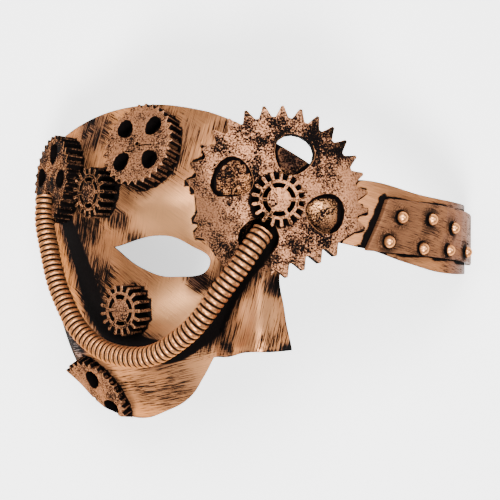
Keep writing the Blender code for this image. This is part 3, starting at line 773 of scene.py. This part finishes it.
def start_material(name):
    """A material with its shader and Object coordinates."""
    material = bpy.data.materials.new(name)
    material.use_nodes = True
    tree = material.node_tree
    shader = tree.nodes["Principled BSDF"]
    shader.inputs["Specular IOR Level"].default_value = SPECULAR_LEVEL
    shader.inputs["IOR"].default_value = SPECULAR_IOR
    shader.inputs["Specular Tint"].default_value = SPECULAR_TINT
    place = tree.nodes.new("ShaderNodeTexCoord")
    return material, tree, shader, (place, "Object")


def add_bump(tree, shader, height, strength, distance):
    """A Bump node from a height to the shader's normal."""
    bump = tree.nodes.new("ShaderNodeBump")
    feed(tree, strength, bump, "Strength")
    feed(tree, distance, bump, "Distance")
    feed(tree, height, bump, "Height")
    feed(tree, (bump, "Normal"), shader, "Normal")


def shell_streaks(tree, streaks, place, band):
    """The shell's streaks: upright, crossed by slanted ones on the cheek, level at the chin and the band."""
    spot = parts_of(tree, place)
    chin = range_node(tree, (spot, "Y"), *CHIN_TOP, 1.0, 0.0)
    cheek = range_node(tree, (spot, "X"), *CHEEK_END, 1.0, 0.0)
    patches = range_node(tree, noise_node(tree, place, *CROSSED_NOISE), *CROSSED_LEVELS)
    upright = placed_streaks(tree, streaks, place, UPRIGHT_STREAKS)
    slanted = placed_streaks(tree, streaks, place, SLANTED_STREAKS)
    level = placed_streaks(tree, streaks, place, CHIN_STREAKS)
    along = placed_streaks(tree, streaks, place, BAND_STREAKS)
    face = mix_number(tree, times(tree, patches, cheek), upright, slanted)
    face = mix_number(tree, chin, face, level)
    return mix_number(tree, band, face, along)


def brushed_copper(settings, streaks, flecks):
    """The shell's outside: copper with black rubbed into streaks, black patina and painted shade in low
    places and beside raised pieces, dark brown painted shade and painted highlights.
    """
    material, tree, shader, place = start_material("brushed aged copper")
    band = range_node(tree, (parts_of(tree, place), "X"), *BAND_START)
    streak = shell_streaks(tree, streaks, place, band)
    # Painted shade with some grime, and painted highlights, as floats on the piece.
    shade_and_grime = attribute_node(tree, "shade_and_grime")
    light = attribute_node(tree, "light")
    lighter = times(tree, light, LIGHT_SHARE)
    # Black from streaks and blotches, more with painted shade and grime, less under painted highlights and
    # on the band.
    level = plus(
        tree,
        times(tree, streak, STREAK_SHARE),
        times(tree, noise_node(tree, place, *BLOTCH_NOISE), BLOTCH_SHARE),
        times(tree, shade_and_grime, SHADE_AND_GRIME_SHARE),
        lighter,
        times(tree, band, BAND_SHARE),
    )
    start, full = (end - settings.patina * PATINA_SHARE for end in BLACK_LEVELS)
    rubbed = range_node(tree, level, start, full)
    fleck, _ = placed_flecks(tree, flecks, place, SHELL_FLECKS)
    rubbed = mix_number(tree, attribute_node(tree, "dab"), rubbed, fleck)
    # Black patina and painted shade at low places, beside the raised pieces and on the slopes.
    depth = plus(tree, times(tree, streak, RAGGED_SHARE), attribute_node(tree, "patina_and_shade"))
    black = math_node(tree, "MAXIMUM", rubbed, range_node(tree, depth, *PATINA_AND_SHADE_LEVELS))

    tone = range_node(tree, plus(tree, streak, lighter), *BROWN_LEVELS, 0.0, BROWN_MOST)
    colour = mix_colour(tree, tone, settings.copper, settings.brown)
    # Painted highlights: the highlight colour where the light float is high.
    colour = mix_colour(tree, times(tree, light, HIGHLIGHT_SHARE), colour, settings.highlight_colour)
    # Dark brown painted shade beside the raised pieces, on the slopes and along the band, with grime in some
    # dark spots.
    colour = mix_colour(tree, times(tree, shade_and_grime, SHADE_AND_SOIL_SHARE), colour, settings.shade_and_soil)
    colour = mix_colour(tree, black, colour, settings.black)
    feed(tree, colour, shader, "Base Color")
    feed(tree, between(tree, black, SHELL_ROUGHNESS), shader, "Roughness")
    dull = math_node(tree, "MULTIPLY", shade_and_grime, DULL_SHARE, clamp=True)
    clean = math_node(tree, "SUBTRACT", 1.0, dull)
    feed(tree, times(tree, between(tree, black, SHELL_METAL), clean), shader, "Metallic")
    add_bump(tree, shader, streak, *SHELL_BUMP)
    return material


def fleck_amount(tree, place, amount, spots):
    """How thick the flecks lie, changed round some places as seen from the front."""
    if not spots:
        return amount
    spot = parts_of(tree, place)
    for x, y, full, none, change in spots:
        beside = math_node(tree, "SUBTRACT", (spot, "X"), x + FACE_SHIFT.x)
        above = math_node(tree, "SUBTRACT", (spot, "Y"), y + FACE_SHIFT.y)
        square = plus(tree, times(tree, beside, beside), times(tree, above, above))
        near = range_node(tree, math_node(tree, "SQRT", square), full, none, change, 0.0)
        amount = plus(tree, near, amount)
    return amount


def sponged_copper(name, settings, flecks, amount, spots=()):
    """Gear faces: dabbed dark flecks, black side walls and lighter worn edges."""
    material, tree, shader, place = start_material(name)
    fleck, grain = placed_flecks(tree, flecks, place, fleck_amount(tree, place, amount, spots))
    wall = attribute_node(tree, "wall")
    worn = times(tree, attribute_node(tree, "edge"), EDGE_SHARE)
    colour = mix_colour(tree, range_node(tree, grain, *GEAR_GRAIN), settings.gear_copper, settings.brown)
    colour = mix_colour(tree, fleck, colour, settings.black)
    colour = mix_colour(tree, worn, colour, settings.copper)
    colour = mix_colour(tree, wall, colour, settings.black)
    feed(tree, colour, shader, "Base Color")
    black = math_node(tree, "MAXIMUM", fleck, wall)
    feed(tree, between(tree, black, GEAR_ROUGHNESS), shader, "Roughness")
    feed(tree, between(tree, black, GEAR_METAL), shader, "Metallic")
    add_bump(tree, shader, grain, *GEAR_BUMP)
    return material


def tube_copper(settings, flecks):
    """The tube: smooth copper crests with black grooves."""
    material, tree, shader, place = start_material("tube copper")
    fleck, grain = placed_flecks(tree, flecks, place, TUBE_FLECKS)
    black = range_node(tree, attribute_node(tree, "groove"), *GROOVE_LEVELS)
    colour = mix_colour(tree, range_node(tree, grain, *TUBE_GRAIN), settings.copper, settings.brown)
    colour = mix_colour(tree, fleck, colour, settings.brown)
    colour = mix_colour(tree, black, colour, settings.black)
    feed(tree, colour, shader, "Base Color")
    feed(tree, between(tree, black, TUBE_ROUGHNESS), shader, "Roughness")
    feed(tree, between(tree, black, TUBE_METAL), shader, "Metallic")
    add_bump(tree, shader, grain, *TUBE_BUMP)
    return material


def rivet_copper(settings, flecks):
    """Rivet heads: polished on top, black at the foot."""
    material, tree, shader, place = start_material("rivet copper")
    fleck, grain = placed_flecks(tree, flecks, place, RIVET_FLECKS)
    wall = attribute_node(tree, "wall")
    colour = mix_colour(tree, fleck, settings.copper, settings.brown)
    colour = mix_colour(tree, wall, colour, settings.black)
    feed(tree, colour, shader, "Base Color")
    shader.inputs["Metallic"].default_value = RIVET_METAL
    feed(tree, between(tree, wall, RIVET_ROUGHNESS), shader, "Roughness")
    add_bump(tree, shader, grain, *RIVET_BUMP)
    return material


def dark_lining(settings):
    """The inside of the shell: plain dark paint with a faint mottle."""
    material, tree, shader, place = start_material("dark lining")
    mottle = noise_node(tree, place, *LINING_NOISE)
    tone = range_node(tree, mottle, *LINING_LEVELS)
    feed(tree, mix_colour(tree, tone, settings.black, settings.lining), shader, "Base Color")
    shader.inputs["Roughness"].default_value = LINING_ROUGHNESS
    add_bump(tree, shader, mottle, *LINING_BUMP)
    return material


def outline_cutter():
    """A tall solid of the face's outline with the eye hole."""
    curve = bpy.data.curves.new("face outline", "CURVE")
    curve.dimensions = "2D"
    curve.fill_mode = "BOTH"
    curve.extrude = CUTTER_HALF_HEIGHT
    for points in (OUTLINE, EYE_OUTLINE):
        line = curve.splines.new("BEZIER")
        line.bezier_points.add(len(points) - 1)
        line.resolution_u = CURVE_STEPS
        line.use_cyclic_u = True
        for spot, (x, y, corner) in zip(line.bezier_points, points):
            spot.co = (x * HALF_WIDTH, y * FACE_LENGTH, 0)
            kind = "VECTOR" if corner else "AUTO"
            spot.handle_left_type = kind
            spot.handle_right_type = kind
    cutter = bpy.data.objects.new("face outline", curve)
    bpy.context.scene.collection.objects.link(cutter)
    cutter.location = FACE_SHIFT + Vector((0, 0, CUTTER_HALF_HEIGHT))
    make_active(cutter)
    bpy.ops.object.convert(target="MESH")
    bpy.ops.object.transform_apply(location=True, rotation=False, scale=False)
    merge_doubles(cutter, CUTTER_MERGE_DISTANCE)
    return cutter


def gear_frames():
    """Centre, axis and tip radius of each gear that stands on the face."""
    found = {}
    for name, x, y, tip, lean in FACE_GEARS:
        height = y * FACE_LENGTH
        angle = angle_at(x * HALF_WIDTH, height)
        axis = (face_normal(angle, height, GEAR_PATCH) + Vector((0, 0, lean))).normalized()
        found[name] = (face_point(angle, height) + FACE_SHIFT, axis, tip)
    return found


def route_marks():
    """The tube's feet on the face and its centres above them."""
    feet = []
    centres = []
    for x, y, lift in TUBE_ROUTE:
        height = y * FACE_LENGTH
        foot = face_point(angle_at(x * HALF_WIDTH, height), height)
        out = Vector((foot.x, 0, foot.z)).normalized()
        feet.append(foot + FACE_SHIFT)
        centres.append(foot + out * lift * TUBE_RADIUS + FACE_SHIFT)
    return feet, centres


def smooth_route(marks, steps):
    """Points on a smooth curve through the marks, so many steps from mark to mark."""
    knots = list(range(len(marks)))
    columns = [[mark[axis] for mark in marks] for axis in range(3)]
    count = steps * (len(marks) - 1)
    return [Vector(spline(knots, column, i / steps) for column in columns) for i in range(count + 1)]


def even_route(points, count):
    """Points at even distances along a route, and the route's frame across it at each."""
    lengths = [0.0]
    for start, end in zip(points, points[1:]):
        lengths.append(lengths[-1] + (end - start).length)
    centres = []
    spot = 0
    for i in range(count + 1):
        goal = lengths[-1] * i / count
        while spot < len(points) - 2 and lengths[spot + 1] < goal:
            spot += 1
        share = (goal - lengths[spot]) / (lengths[spot + 1] - lengths[spot])
        centres.append(points[spot].lerp(points[spot + 1], share))
    frames = []
    across = Vector((0, 0, 1))
    for i in range(count + 1):
        ahead = centres[min(i + 1, count)] - centres[max(i - 1, 0)]
        ahead.normalize()
        across = (across - ahead * across.dot(ahead)).normalized()
        frames.append((across.copy(), ahead.cross(across)))
    return centres, frames


def route_length(points):
    """A route's length along its points."""
    length = 0.0
    for start, end in zip(points, points[1:]):
        length += (end - start).length
    return length


def node_tree_of(names):
    """A search tree over some solids."""
    verts = []
    faces = []
    for name in names:
        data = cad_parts[name].data
        start = len(verts)
        verts += [vert.co.copy() for vert in data.vertices]
        faces += [[start + i for i in polygon.vertices] for polygon in data.polygons]
    return BVHTree.FromPolygons(verts, faces)


def spot_strength(spots, point):
    """The strongest of some round spots at a point, seen from the front."""
    x = point.x - FACE_SHIFT.x
    y = point.y - FACE_SHIFT.y
    best = 0.0
    for spot_x, spot_y, radius, strength in spots:
        away = math.hypot(x - spot_x, y - spot_y)
        best = max(best, strength * fade(away, radius * SPOT_CORE, radius))
    return best


def gear_marks(point, gears):
    """Black and dark brown at a point round the gears on the face: patina and painted shade at their feet.
    """
    black = 0.0
    shade_and_soil = 0.0
    for centre, axis, tip in gears:
        away = point - centre
        along = away.dot(axis)
        across = (away - axis * along).length
        if abs(along) < GEAR_MARK_DEPTH:
            most, full, none, rest = GEAR_BLACK
            black = max(black, faded(across, most, tip * full, tip * none + rest))
            most, full, none, rest = GEAR_SHADE_AND_SOIL
            shade_and_soil = max(shade_and_soil, faded(across, most, tip * full, tip * none + rest))
    return black, shade_and_soil


def tube_marks(point, feet):
    """Black and dark brown at a point from the tube, in a band along its feet on the face: patina and
    painted shadow.
    """
    last = len(feet) - 1
    nearest = min(range(len(feet)), key=lambda i: (feet[i] - point).length_squared)
    ahead = feet[min(nearest + 1, last)] - feet[max(nearest - 1, 0)]
    away = point - feet[nearest]
    inner = ahead.x * away.y - ahead.y * away.x > 0
    reach, changes = TUBE_INNER_BLACK if inner else TUBE_OUTER_BLACK
    for change in changes:
        reach += faded(nearest / last, *change)
    start, end = TUBE_SHADE_AND_SOIL
    return fade(away.length, reach, reach + TUBE_BLACK_FADE), fade(away.length, reach + start, reach + end)


def plate_marks(point, plate):
    """Black and dark brown at a point beside the riveted plate, wider where the plate starts: patina and
    painted shadow.
    """
    away = plate.find_nearest(point)[3]
    black = faded(away, *(PLATE_START_BLACK if point.x < PLATE_LEFT else PLATE_BLACK))
    return black, faded(away, *PLATE_SHADE_AND_SOIL)


def slope_marks(point, upward):
    """Painted shade, black and dark brown, where the shell turns away from the front, and dark brown painted
    shade along the band.
    """
    black = faded(upward, *(LEFT_SLOPE_SHADE_BLACK if point.x < 0 else RIGHT_SLOPE_SHADE_BLACK))
    along = max(faded(point.x, *BAND_ROOT_SHADE), faded(point.x, *BAND_END_SHADE))
    return black, max(faded(upward, *SLOPE_SHADE_BROWN), along)


def border_points(piece):
    """The points of the shell's cut edges."""
    found = set()
    for polygon in piece.data.polygons:
        if abs(polygon.normal.dot(head_axis(polygon.center))) < BORDER_SLANT:
            found.update(polygon.vertices)
    return found


def paint_shell(piece):
    """Where black patina and painted shade, black and dark brown, lie on the shell, where painted highlights
    go and where it is dabbed.
    """
    big_gear = node_tree_of(["big_gear"])
    plate = node_tree_of(["rivet_plate"])
    feet = smooth_route(route_marks()[0], FOOT_STEPS)
    gears = list(gear_frames().values())
    border = border_points(piece)
    values = {"shade_and_grime": [], "light": [], "patina_and_shade": [], "dab": []}
    for vert in piece.data.vertices:
        point = vert.co
        marks = [
            (faded(big_gear.find_nearest(point)[3], *BIG_GEAR_BLACK), 0.0),
            (BORDER_BLACK if vert.index in border else 0.0, 0.0),
            plate_marks(point, plate),
            gear_marks(point, gears),
            tube_marks(point, feet),
            slope_marks(point, vert.normal.z),
        ]
        # Painted highlights.
        bright = spot_strength(HIGHLIGHT_SPOTS, point)
        # Dark brown painted shade from the marks, less under painted highlights, and dark spots of painted
        # shade and grime.
        shade_and_soil = max(shade_and_soil for _, shade_and_soil in marks) * (1 - HIGHLIGHT_CLEARS_SHADE * bright)
        from_middle = Vector((point.x - FACE_SHIFT.x, point.y - FACE_SHIFT.y)) - GEAR_MIDDLE
        values["shade_and_grime"].append(max(shade_and_soil, spot_strength(DARK_SPOTS, point) * DARK_SPOT_GAIN))
        values["light"].append(bright)
        # Black beside the raised pieces and on the slopes, patina and painted shade, and at the cut edges.
        values["patina_and_shade"].append(max(black for black, _ in marks))
        values["dab"].append(faded(from_middle.length, *DABBED_DISC))
    for name, column in values.items():
        set_attribute(piece, name, "POINT", column)


def build_shell(settings, finishes):
    """The moulded face: a fine sheet drawn over the face's form, given its wall and cut to its outline."""
    deselect_all()
    bpy.ops.mesh.primitive_grid_add(x_subdivisions=settings.columns, y_subdivisions=settings.rows, size=1)
    piece = bpy.context.object
    piece.name = "shell"
    first_angle, last_angle = SHEET_ANGLES
    low, high = SHEET_HEIGHTS
    for vert in piece.data.vertices:
        angle = first_angle + (last_angle - first_angle) * (vert.co.x + 0.5)
        height = (low + (high - low) * (vert.co.y + 0.5)) * FACE_LENGTH
        vert.co = face_point(angle, height) + FACE_SHIFT
    piece.data.update()
    apply_modifier(piece, "SOLIDIFY", "Wall", thickness=SHELL_WALL, offset=-1.0)
    cutter = outline_cutter()
    apply_modifier(piece, "BOOLEAN", "Outline", object=cutter, operation="INTERSECT", solver="EXACT")
    bpy.data.objects.remove(cutter)
    merge_doubles(piece)
    check_built(piece)
    shade(piece, SHELL_CREASE)
    give(piece, finishes["shell"], finishes["lining"])
    for polygon in piece.data.polygons:
        inward = polygon.normal.dot(head_axis(polygon.center)) < LINING_SLANT
        polygon.material_index = 1 if inward else 0
    paint_shell(piece)
    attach(piece, "root")
    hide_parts("mask_shell")


def paint_walls(piece, axis_at, slants=GEAR_WALLS, rim=None):
    """Marks side walls for black and broken edges for wear, from each face's slant to the gear's axis."""
    walls = []
    edges = []
    for polygon in piece.data.polygons:
        slant = polygon.normal.dot(axis_at(polygon.center))
        wall = fade(slant, *slants)
        if rim is not None:
            centre, axis, tip = rim
            away = polygon.center - centre
            away -= axis * away.dot(axis)
            if polygon.normal.dot(away.normalized()) > RIM_SLANT and away.length > tip * RIM_START:
                wall *= RIM_BLACK
        walls.append(wall)
        narrow = polygon.area < EDGE_AREA
        edges.append(max(0.0, 1 - abs(slant - EDGE_SLANT) / EDGE_SPREAD) if narrow else 0.0)
    set_attribute(piece, "wall", "FACE", walls)
    set_attribute(piece, "edge", "FACE", edges)


def build_gear(node, finish, axis_at, bevel, rim=None):
    """One gear from its solid, with broken edges and black walls."""
    piece = fresh_copy(node, node + "_dressed", bevel)
    shade(piece, GEAR_CREASE)
    give(piece, finish)
    paint_walls(piece, axis_at, rim=rim)
    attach(piece, "root")
    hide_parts(node)


def build_gears(finishes):
    """All the gears."""
    build_gear("big_gear", finishes["big_gear"], head_axis, BIG_GEAR_BEVEL)
    build_gear("hub_gear", finishes["gear"], lambda point: HUB_AXIS, SMALL_GEAR_BEVEL)
    for name, rim in gear_frames().items():
        # The temple gears get the flecked finish with more black: painted shade.
        finish = finishes["shaded_gear" if name.startswith("temple") else "gear"]
        bevel = SMALL_GEAR_BEVEL if "small" in name else ROUND_GEAR_BEVEL
        build_gear(name, finish, lambda point, axis=rim[1]: axis, bevel, rim)


def build_tube(finishes):
    """The ribbed tube: a grid rolled round its route and drawn in at each groove."""
    route = smooth_route(route_marks()[1], ROUTE_STEPS)
    rings = round(route_length(route) / TUBE_PITCH) * RINGS_PER_PITCH
    centres, frames = even_route(route, rings)
    deselect_all()
    bpy.ops.mesh.primitive_grid_add(x_subdivisions=rings, y_subdivisions=TUBE_SIDES, size=1)
    piece = bpy.context.object
    piece.name = "ribbed_tube"
    grooves = []
    for vert in piece.data.vertices:
        ring = round((vert.co.x + 0.5) * rings)
        turn = 2 * math.pi * round((vert.co.y + 0.5) * TUBE_SIDES) / TUBE_SIDES
        depth = max(0.0, math.cos(2 * math.pi * (ring / RINGS_PER_PITCH - 0.5))) ** GROOVE_POWER
        radius = TUBE_RADIUS - TUBE_GROOVE * depth
        across, over = frames[ring]
        vert.co = centres[ring] + (across * math.cos(turn) + over * math.sin(turn)) * radius
        grooves.append(depth)
    set_attribute(piece, "groove", "POINT", grooves)
    merge_doubles(piece)
    bpy.ops.object.mode_set(mode="EDIT")
    bpy.ops.mesh.fill_holes(sides=0)
    bpy.ops.mesh.select_all(action="SELECT")
    bpy.ops.mesh.normals_make_consistent(inside=False)
    bpy.ops.object.mode_set(mode="OBJECT")
    check_built(piece)
    shade(piece, TUBE_CREASE)
    give(piece, finishes["tube"])
    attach(piece, "root")
    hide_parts("corrugated_tube")


def paint_plate(piece):
    """Black round the rivets' feet, patina and painted shadow, darker toward the lower border, and painted
    shade toward the band's end.
    """
    rivets = node_tree_of([f"rivet_{i}" for i in range(1, RIVET_COUNT + 1)])
    low = min(vert.co.y for vert in piece.data.vertices)
    values = {"shade_and_grime": [], "light": [], "patina_and_shade": [], "dab": []}
    for vert in piece.data.vertices:
        away = rivets.find_nearest(vert.co)[3]
        # Darker all over and toward the lower border; painted shade toward the band's end; patina and
        # painted shadow round the rivets.
        border = PLATE_LEAST_DARKENING + faded(vert.co.y - low, *PLATE_LOW_EDGE_DARKENING)
        band_end = faded(vert.co.x, *PLATE_END_SHADE)
        values["shade_and_grime"].append(max(border, band_end, faded(away, *RIVET_SHADE_AND_SOIL)))
        values["light"].append(0.0)
        values["patina_and_shade"].append(faded(away, *RIVET_BLACK))
        values["dab"].append(faded(away, *RIVET_DABS))
    for name, column in values.items():
        set_attribute(piece, name, "POINT", column)


def rivet_dome(node, name):
    """A round head in the place of a rivet's solid, closed underneath."""
    corners = [vert.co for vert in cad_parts[node].data.vertices]
    middle = sum(corners, Vector()) / len(corners)
    axis = head_axis(middle)
    levels = [(corner - middle).dot(axis) for corner in corners]
    foot = middle + axis * min(levels)
    radius = max((corner - foot - axis * (corner - foot).dot(axis)).length for corner in corners)
    height = max(levels) - min(levels)
    deselect_all()
    bpy.ops.mesh.primitive_uv_sphere_add(segments=RIVET_SIDES, ring_count=RIVET_LEVELS, radius=1)
    piece = bpy.context.object
    piece.name = name
    bpy.ops.object.mode_set(mode="EDIT")
    bpy.ops.mesh.select_all(action="SELECT")
    bpy.ops.mesh.bisect(plane_co=(0, 0, RIVET_CUT), plane_no=(0, 0, 1), use_fill=True, clear_inner=True)
    bpy.ops.object.mode_set(mode="OBJECT")
    turn = axis.to_track_quat("Z", "Y").to_matrix().to_4x4()
    piece.data.transform(Matrix.Translation(foot) @ turn @ Matrix.Diagonal((radius, radius, height, 1)))
    return piece


def build_plate(finishes):
    """The riveted plate on the band."""
    plate = fresh_copy("rivet_plate", "band_plate", PLATE_BEVEL)
    make_active(plate)
    bpy.ops.object.mode_set(mode="EDIT")
    bpy.ops.mesh.select_all(action="SELECT")
    bpy.ops.mesh.subdivide(number_cuts=PLATE_CUTS)
    bpy.ops.object.mode_set(mode="OBJECT")
    shade(plate, GEAR_CREASE)
    give(plate, finishes["shell"])
    paint_plate(plate)
    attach(plate, "root")
    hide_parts("rivet_plate")


def build_rivets(finishes):
    """The rivets on the plate."""
    for i in range(1, RIVET_COUNT + 1):
        node = f"rivet_{i}"
        rivet = rivet_dome(node, f"rivet_head_{i}")
        give(rivet, finishes["rivet"])
        paint_walls(rivet, head_axis, RIVET_WALLS)
        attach(rivet, "root")
        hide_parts(node)


def area_light(name, place, aim, size, power):
    """A soft square light pointed at a place."""
    bpy.ops.object.light_add(type="AREA", location=place)
    lamp = bpy.context.object
    lamp.name = name
    lamp.data.size = size
    lamp.data.energy = power
    lamp.rotation_euler = (Vector(aim) - Vector(place)).to_track_quat("-Z", "Y").to_euler()


def pale_floor(settings):
    """A plain pale floor with a faint glow of its own."""
    material, _, shader, _ = start_material("pale floor")
    shader.inputs["Base Color"].default_value = FLOOR_COLOUR
    shader.inputs["Roughness"].default_value = FLOOR_ROUGHNESS
    shader.inputs["Emission Color"].default_value = WHITE
    shader.inputs["Emission Strength"].default_value = settings.floor_glow
    return material


def studio_sky(settings):
    """Light from all round, paler where the camera sees past the floor."""
    world = bpy.data.worlds.new("studio")
    world.use_nodes = True
    tree = world.node_tree
    background = tree.nodes["Background"]
    background.inputs["Color"].default_value = WHITE
    seen = tree.nodes.new("ShaderNodeLightPath")
    paler = times(tree, (seen, "Is Camera Ray"), settings.backdrop)
    feed(tree, plus(tree, paler, settings.sky), background, "Strength")
    return world


def build_stage(settings):
    """Floor, lights and camera."""
    deselect_all()
    bpy.ops.mesh.primitive_plane_add(size=FLOOR_SIZE)
    floor = bpy.context.object
    floor.name = "floor"
    give(floor, pale_floor(settings))
    bpy.context.scene.world = studio_sky(settings)
    for name, place, aim, size, share in LIGHTS:
        area_light(name, place, aim, size, settings.key_power * share)
    bpy.ops.object.camera_add(location=(CAMERA_X, CAMERA_Y, CAMERA_HEIGHT), rotation=(0, 0, 0))
    camera = bpy.context.object
    camera.name = "camera"
    camera.data.lens = CAMERA_LENS
    camera.data.sensor_width = CAMERA_SENSOR
    camera.data.clip_start = CAMERA_NEAREST
    bpy.context.scene.camera = camera


class MaskShellSettings(bpy.types.PropertyGroup):
    """Fineness of the shell."""

    columns: bpy.props.IntProperty(name="Columns", description="Faces round the head", default=150, min=40)
    rows: bpy.props.IntProperty(name="Rows", description="Faces from chin to forehead", default=92, min=30)


class MaskFinishSettings(bpy.types.PropertyGroup):
    """Colours of the paint."""

    copper: bpy.props.FloatVectorProperty(
        name="Copper", description="Bright copper", subtype="COLOR", default=(0.63, 0.266, 0.104)
    )
    gear_copper: bpy.props.FloatVectorProperty(
        name="Gear copper", description="Duller copper of the gears", subtype="COLOR",
        default=(0.40, 0.178, 0.088),
    )
    brown: bpy.props.FloatVectorProperty(
        name="Brown", description="Copper in shade", subtype="COLOR", default=(0.15, 0.058, 0.028)
    )
    # The colour of painted highlights.
    highlight_colour: bpy.props.FloatVectorProperty(
        name="Highlight", description="Copper rubbed bright", subtype="COLOR", default=(1.0, 0.49, 0.22)
    )
    # Dark brown for painted shade beside the raised pieces, on the slopes and along the band, and for grime.
    shade_and_soil: bpy.props.FloatVectorProperty(
        name="Shade_and_soil", description="Copper beside the raised pieces", subtype="COLOR",
        default=(0.060, 0.026, 0.016),
    )
    black: bpy.props.FloatVectorProperty(
        name="Black", description="Rubbed-in patina", subtype="COLOR", default=(0.0025, 0.002, 0.002)
    )
    lining: bpy.props.FloatVectorProperty(
        name="Lining", description="Inside of the shell", subtype="COLOR", default=(0.018, 0.012, 0.01)
    )
    patina: bpy.props.FloatProperty(
        name="Patina", description="How much black stays", default=0.5, min=0, max=1
    )


class MaskStageSettings(bpy.types.PropertyGroup):
    """Light of the studio."""

    key_power: bpy.props.FloatProperty(name="Key", description="Main light", default=17.0, unit="POWER")
    sky: bpy.props.FloatProperty(name="Sky", description="Light from all round", default=0.12)
    backdrop: bpy.props.FloatProperty(
        name="Backdrop", description="Paleness behind the floor", default=1.2
    )
    floor_glow: bpy.props.FloatProperty(name="Floor glow", description="Paleness of the floor", default=1.2)


def finishes():
    """All the finishes by use, made once."""
    settings = bpy.context.scene.mask_finish
    if "brushed aged copper" not in bpy.data.materials:
        streaks = brush_group()
        flecks = sponge_group()
        brushed_copper(settings, streaks, flecks)
        sponged_copper("big gear copper", settings, flecks, BIG_GEAR_FLECKS, GEAR_SPOTS)
        sponged_copper("gear copper", settings, flecks, GEAR_FLECKS)
        sponged_copper("shaded gear copper", settings, flecks, SHADED_GEAR_FLECKS)
        tube_copper(settings, flecks)
        rivet_copper(settings, flecks)
        dark_lining(settings)
    return {
        "shell": bpy.data.materials["brushed aged copper"],
        "big_gear": bpy.data.materials["big gear copper"],
        "gear": bpy.data.materials["gear copper"],
        "shaded_gear": bpy.data.materials["shaded gear copper"],
        "tube": bpy.data.materials["tube copper"],
        "rivet": bpy.data.materials["rivet copper"],
        "lining": bpy.data.materials["dark lining"],
    }


class MASK_OT_shell(bpy.types.Operator):
    """Build the face shell"""

    bl_idname = "mask.shell"
    bl_label = "Shell"

    def execute(self, context):
        build_shell(context.scene.mask_shell, finishes())
        return {"FINISHED"}


class MASK_OT_gears(bpy.types.Operator):
    """Dress the gears"""

    bl_idname = "mask.gears"
    bl_label = "Gears"

    def execute(self, context):
        build_gears(finishes())
        return {"FINISHED"}


class MASK_OT_tube(bpy.types.Operator):
    """Build the ribbed tube"""

    bl_idname = "mask.tube"
    bl_label = "Ribbed tube"

    def execute(self, context):
        build_tube(finishes())
        return {"FINISHED"}


class MASK_OT_plate(bpy.types.Operator):
    """Dress the riveted plate"""

    bl_idname = "mask.plate"
    bl_label = "Riveted plate"

    def execute(self, context):
        build_plate(finishes())
        return {"FINISHED"}


class MASK_OT_rivets(bpy.types.Operator):
    """Build the rivets"""

    bl_idname = "mask.rivets"
    bl_label = "Rivets"

    def execute(self, context):
        build_rivets(finishes())
        return {"FINISHED"}


class MASK_OT_stage(bpy.types.Operator):
    """Set the floor, lights and camera"""

    bl_idname = "mask.stage"
    bl_label = "Stage"

    def execute(self, context):
        build_stage(context.scene.mask_stage)
        return {"FINISHED"}


class MASK_PT_panel(bpy.types.Panel):
    """The mask's steps in the sidebar"""

    bl_idname = "MASK_PT_panel"
    bl_label = "Mask"
    bl_space_type = "VIEW_3D"
    bl_region_type = "UI"
    bl_category = "Mask"

    def draw(self, context):
        """The settings, then a button for each step"""
        scene = context.scene
        for settings in (scene.mask_shell, scene.mask_finish, scene.mask_stage):
            box = self.layout.box()
            for name in settings.__annotations__:
                box.prop(settings, name)
        for step in STEPS:
            self.layout.operator(step)


STEPS = ("mask.shell", "mask.gears", "mask.tube", "mask.plate", "mask.rivets", "mask.stage")
CLASSES = (
    MaskShellSettings,
    MaskFinishSettings,
    MaskStageSettings,
    MASK_OT_shell,
    MASK_OT_gears,
    MASK_OT_tube,
    MASK_OT_plate,
    MASK_OT_rivets,
    MASK_OT_stage,
    MASK_PT_panel,
)


def register():
    """Adds the classes and the settings they need."""
    for item in CLASSES:
        bpy.utils.register_class(item)
    bpy.types.Scene.mask_shell = bpy.props.PointerProperty(type=MaskShellSettings)
    bpy.types.Scene.mask_finish = bpy.props.PointerProperty(type=MaskFinishSettings)
    bpy.types.Scene.mask_stage = bpy.props.PointerProperty(type=MaskStageSettings)


def unregister():
    """Takes the settings and the classes out again."""
    del bpy.types.Scene.mask_stage
    del bpy.types.Scene.mask_finish
    del bpy.types.Scene.mask_shell
    for item in reversed(CLASSES):
        bpy.utils.unregister_class(item)


def main():
    """Builds every piece and the stage."""
    register()
    bpy.ops.mask.shell()
    bpy.ops.mask.gears()
    bpy.ops.mask.tube()
    bpy.ops.mask.plate()
    bpy.ops.mask.rivets()
    bpy.ops.mask.stage()


if __name__ == "__main__":
    main()
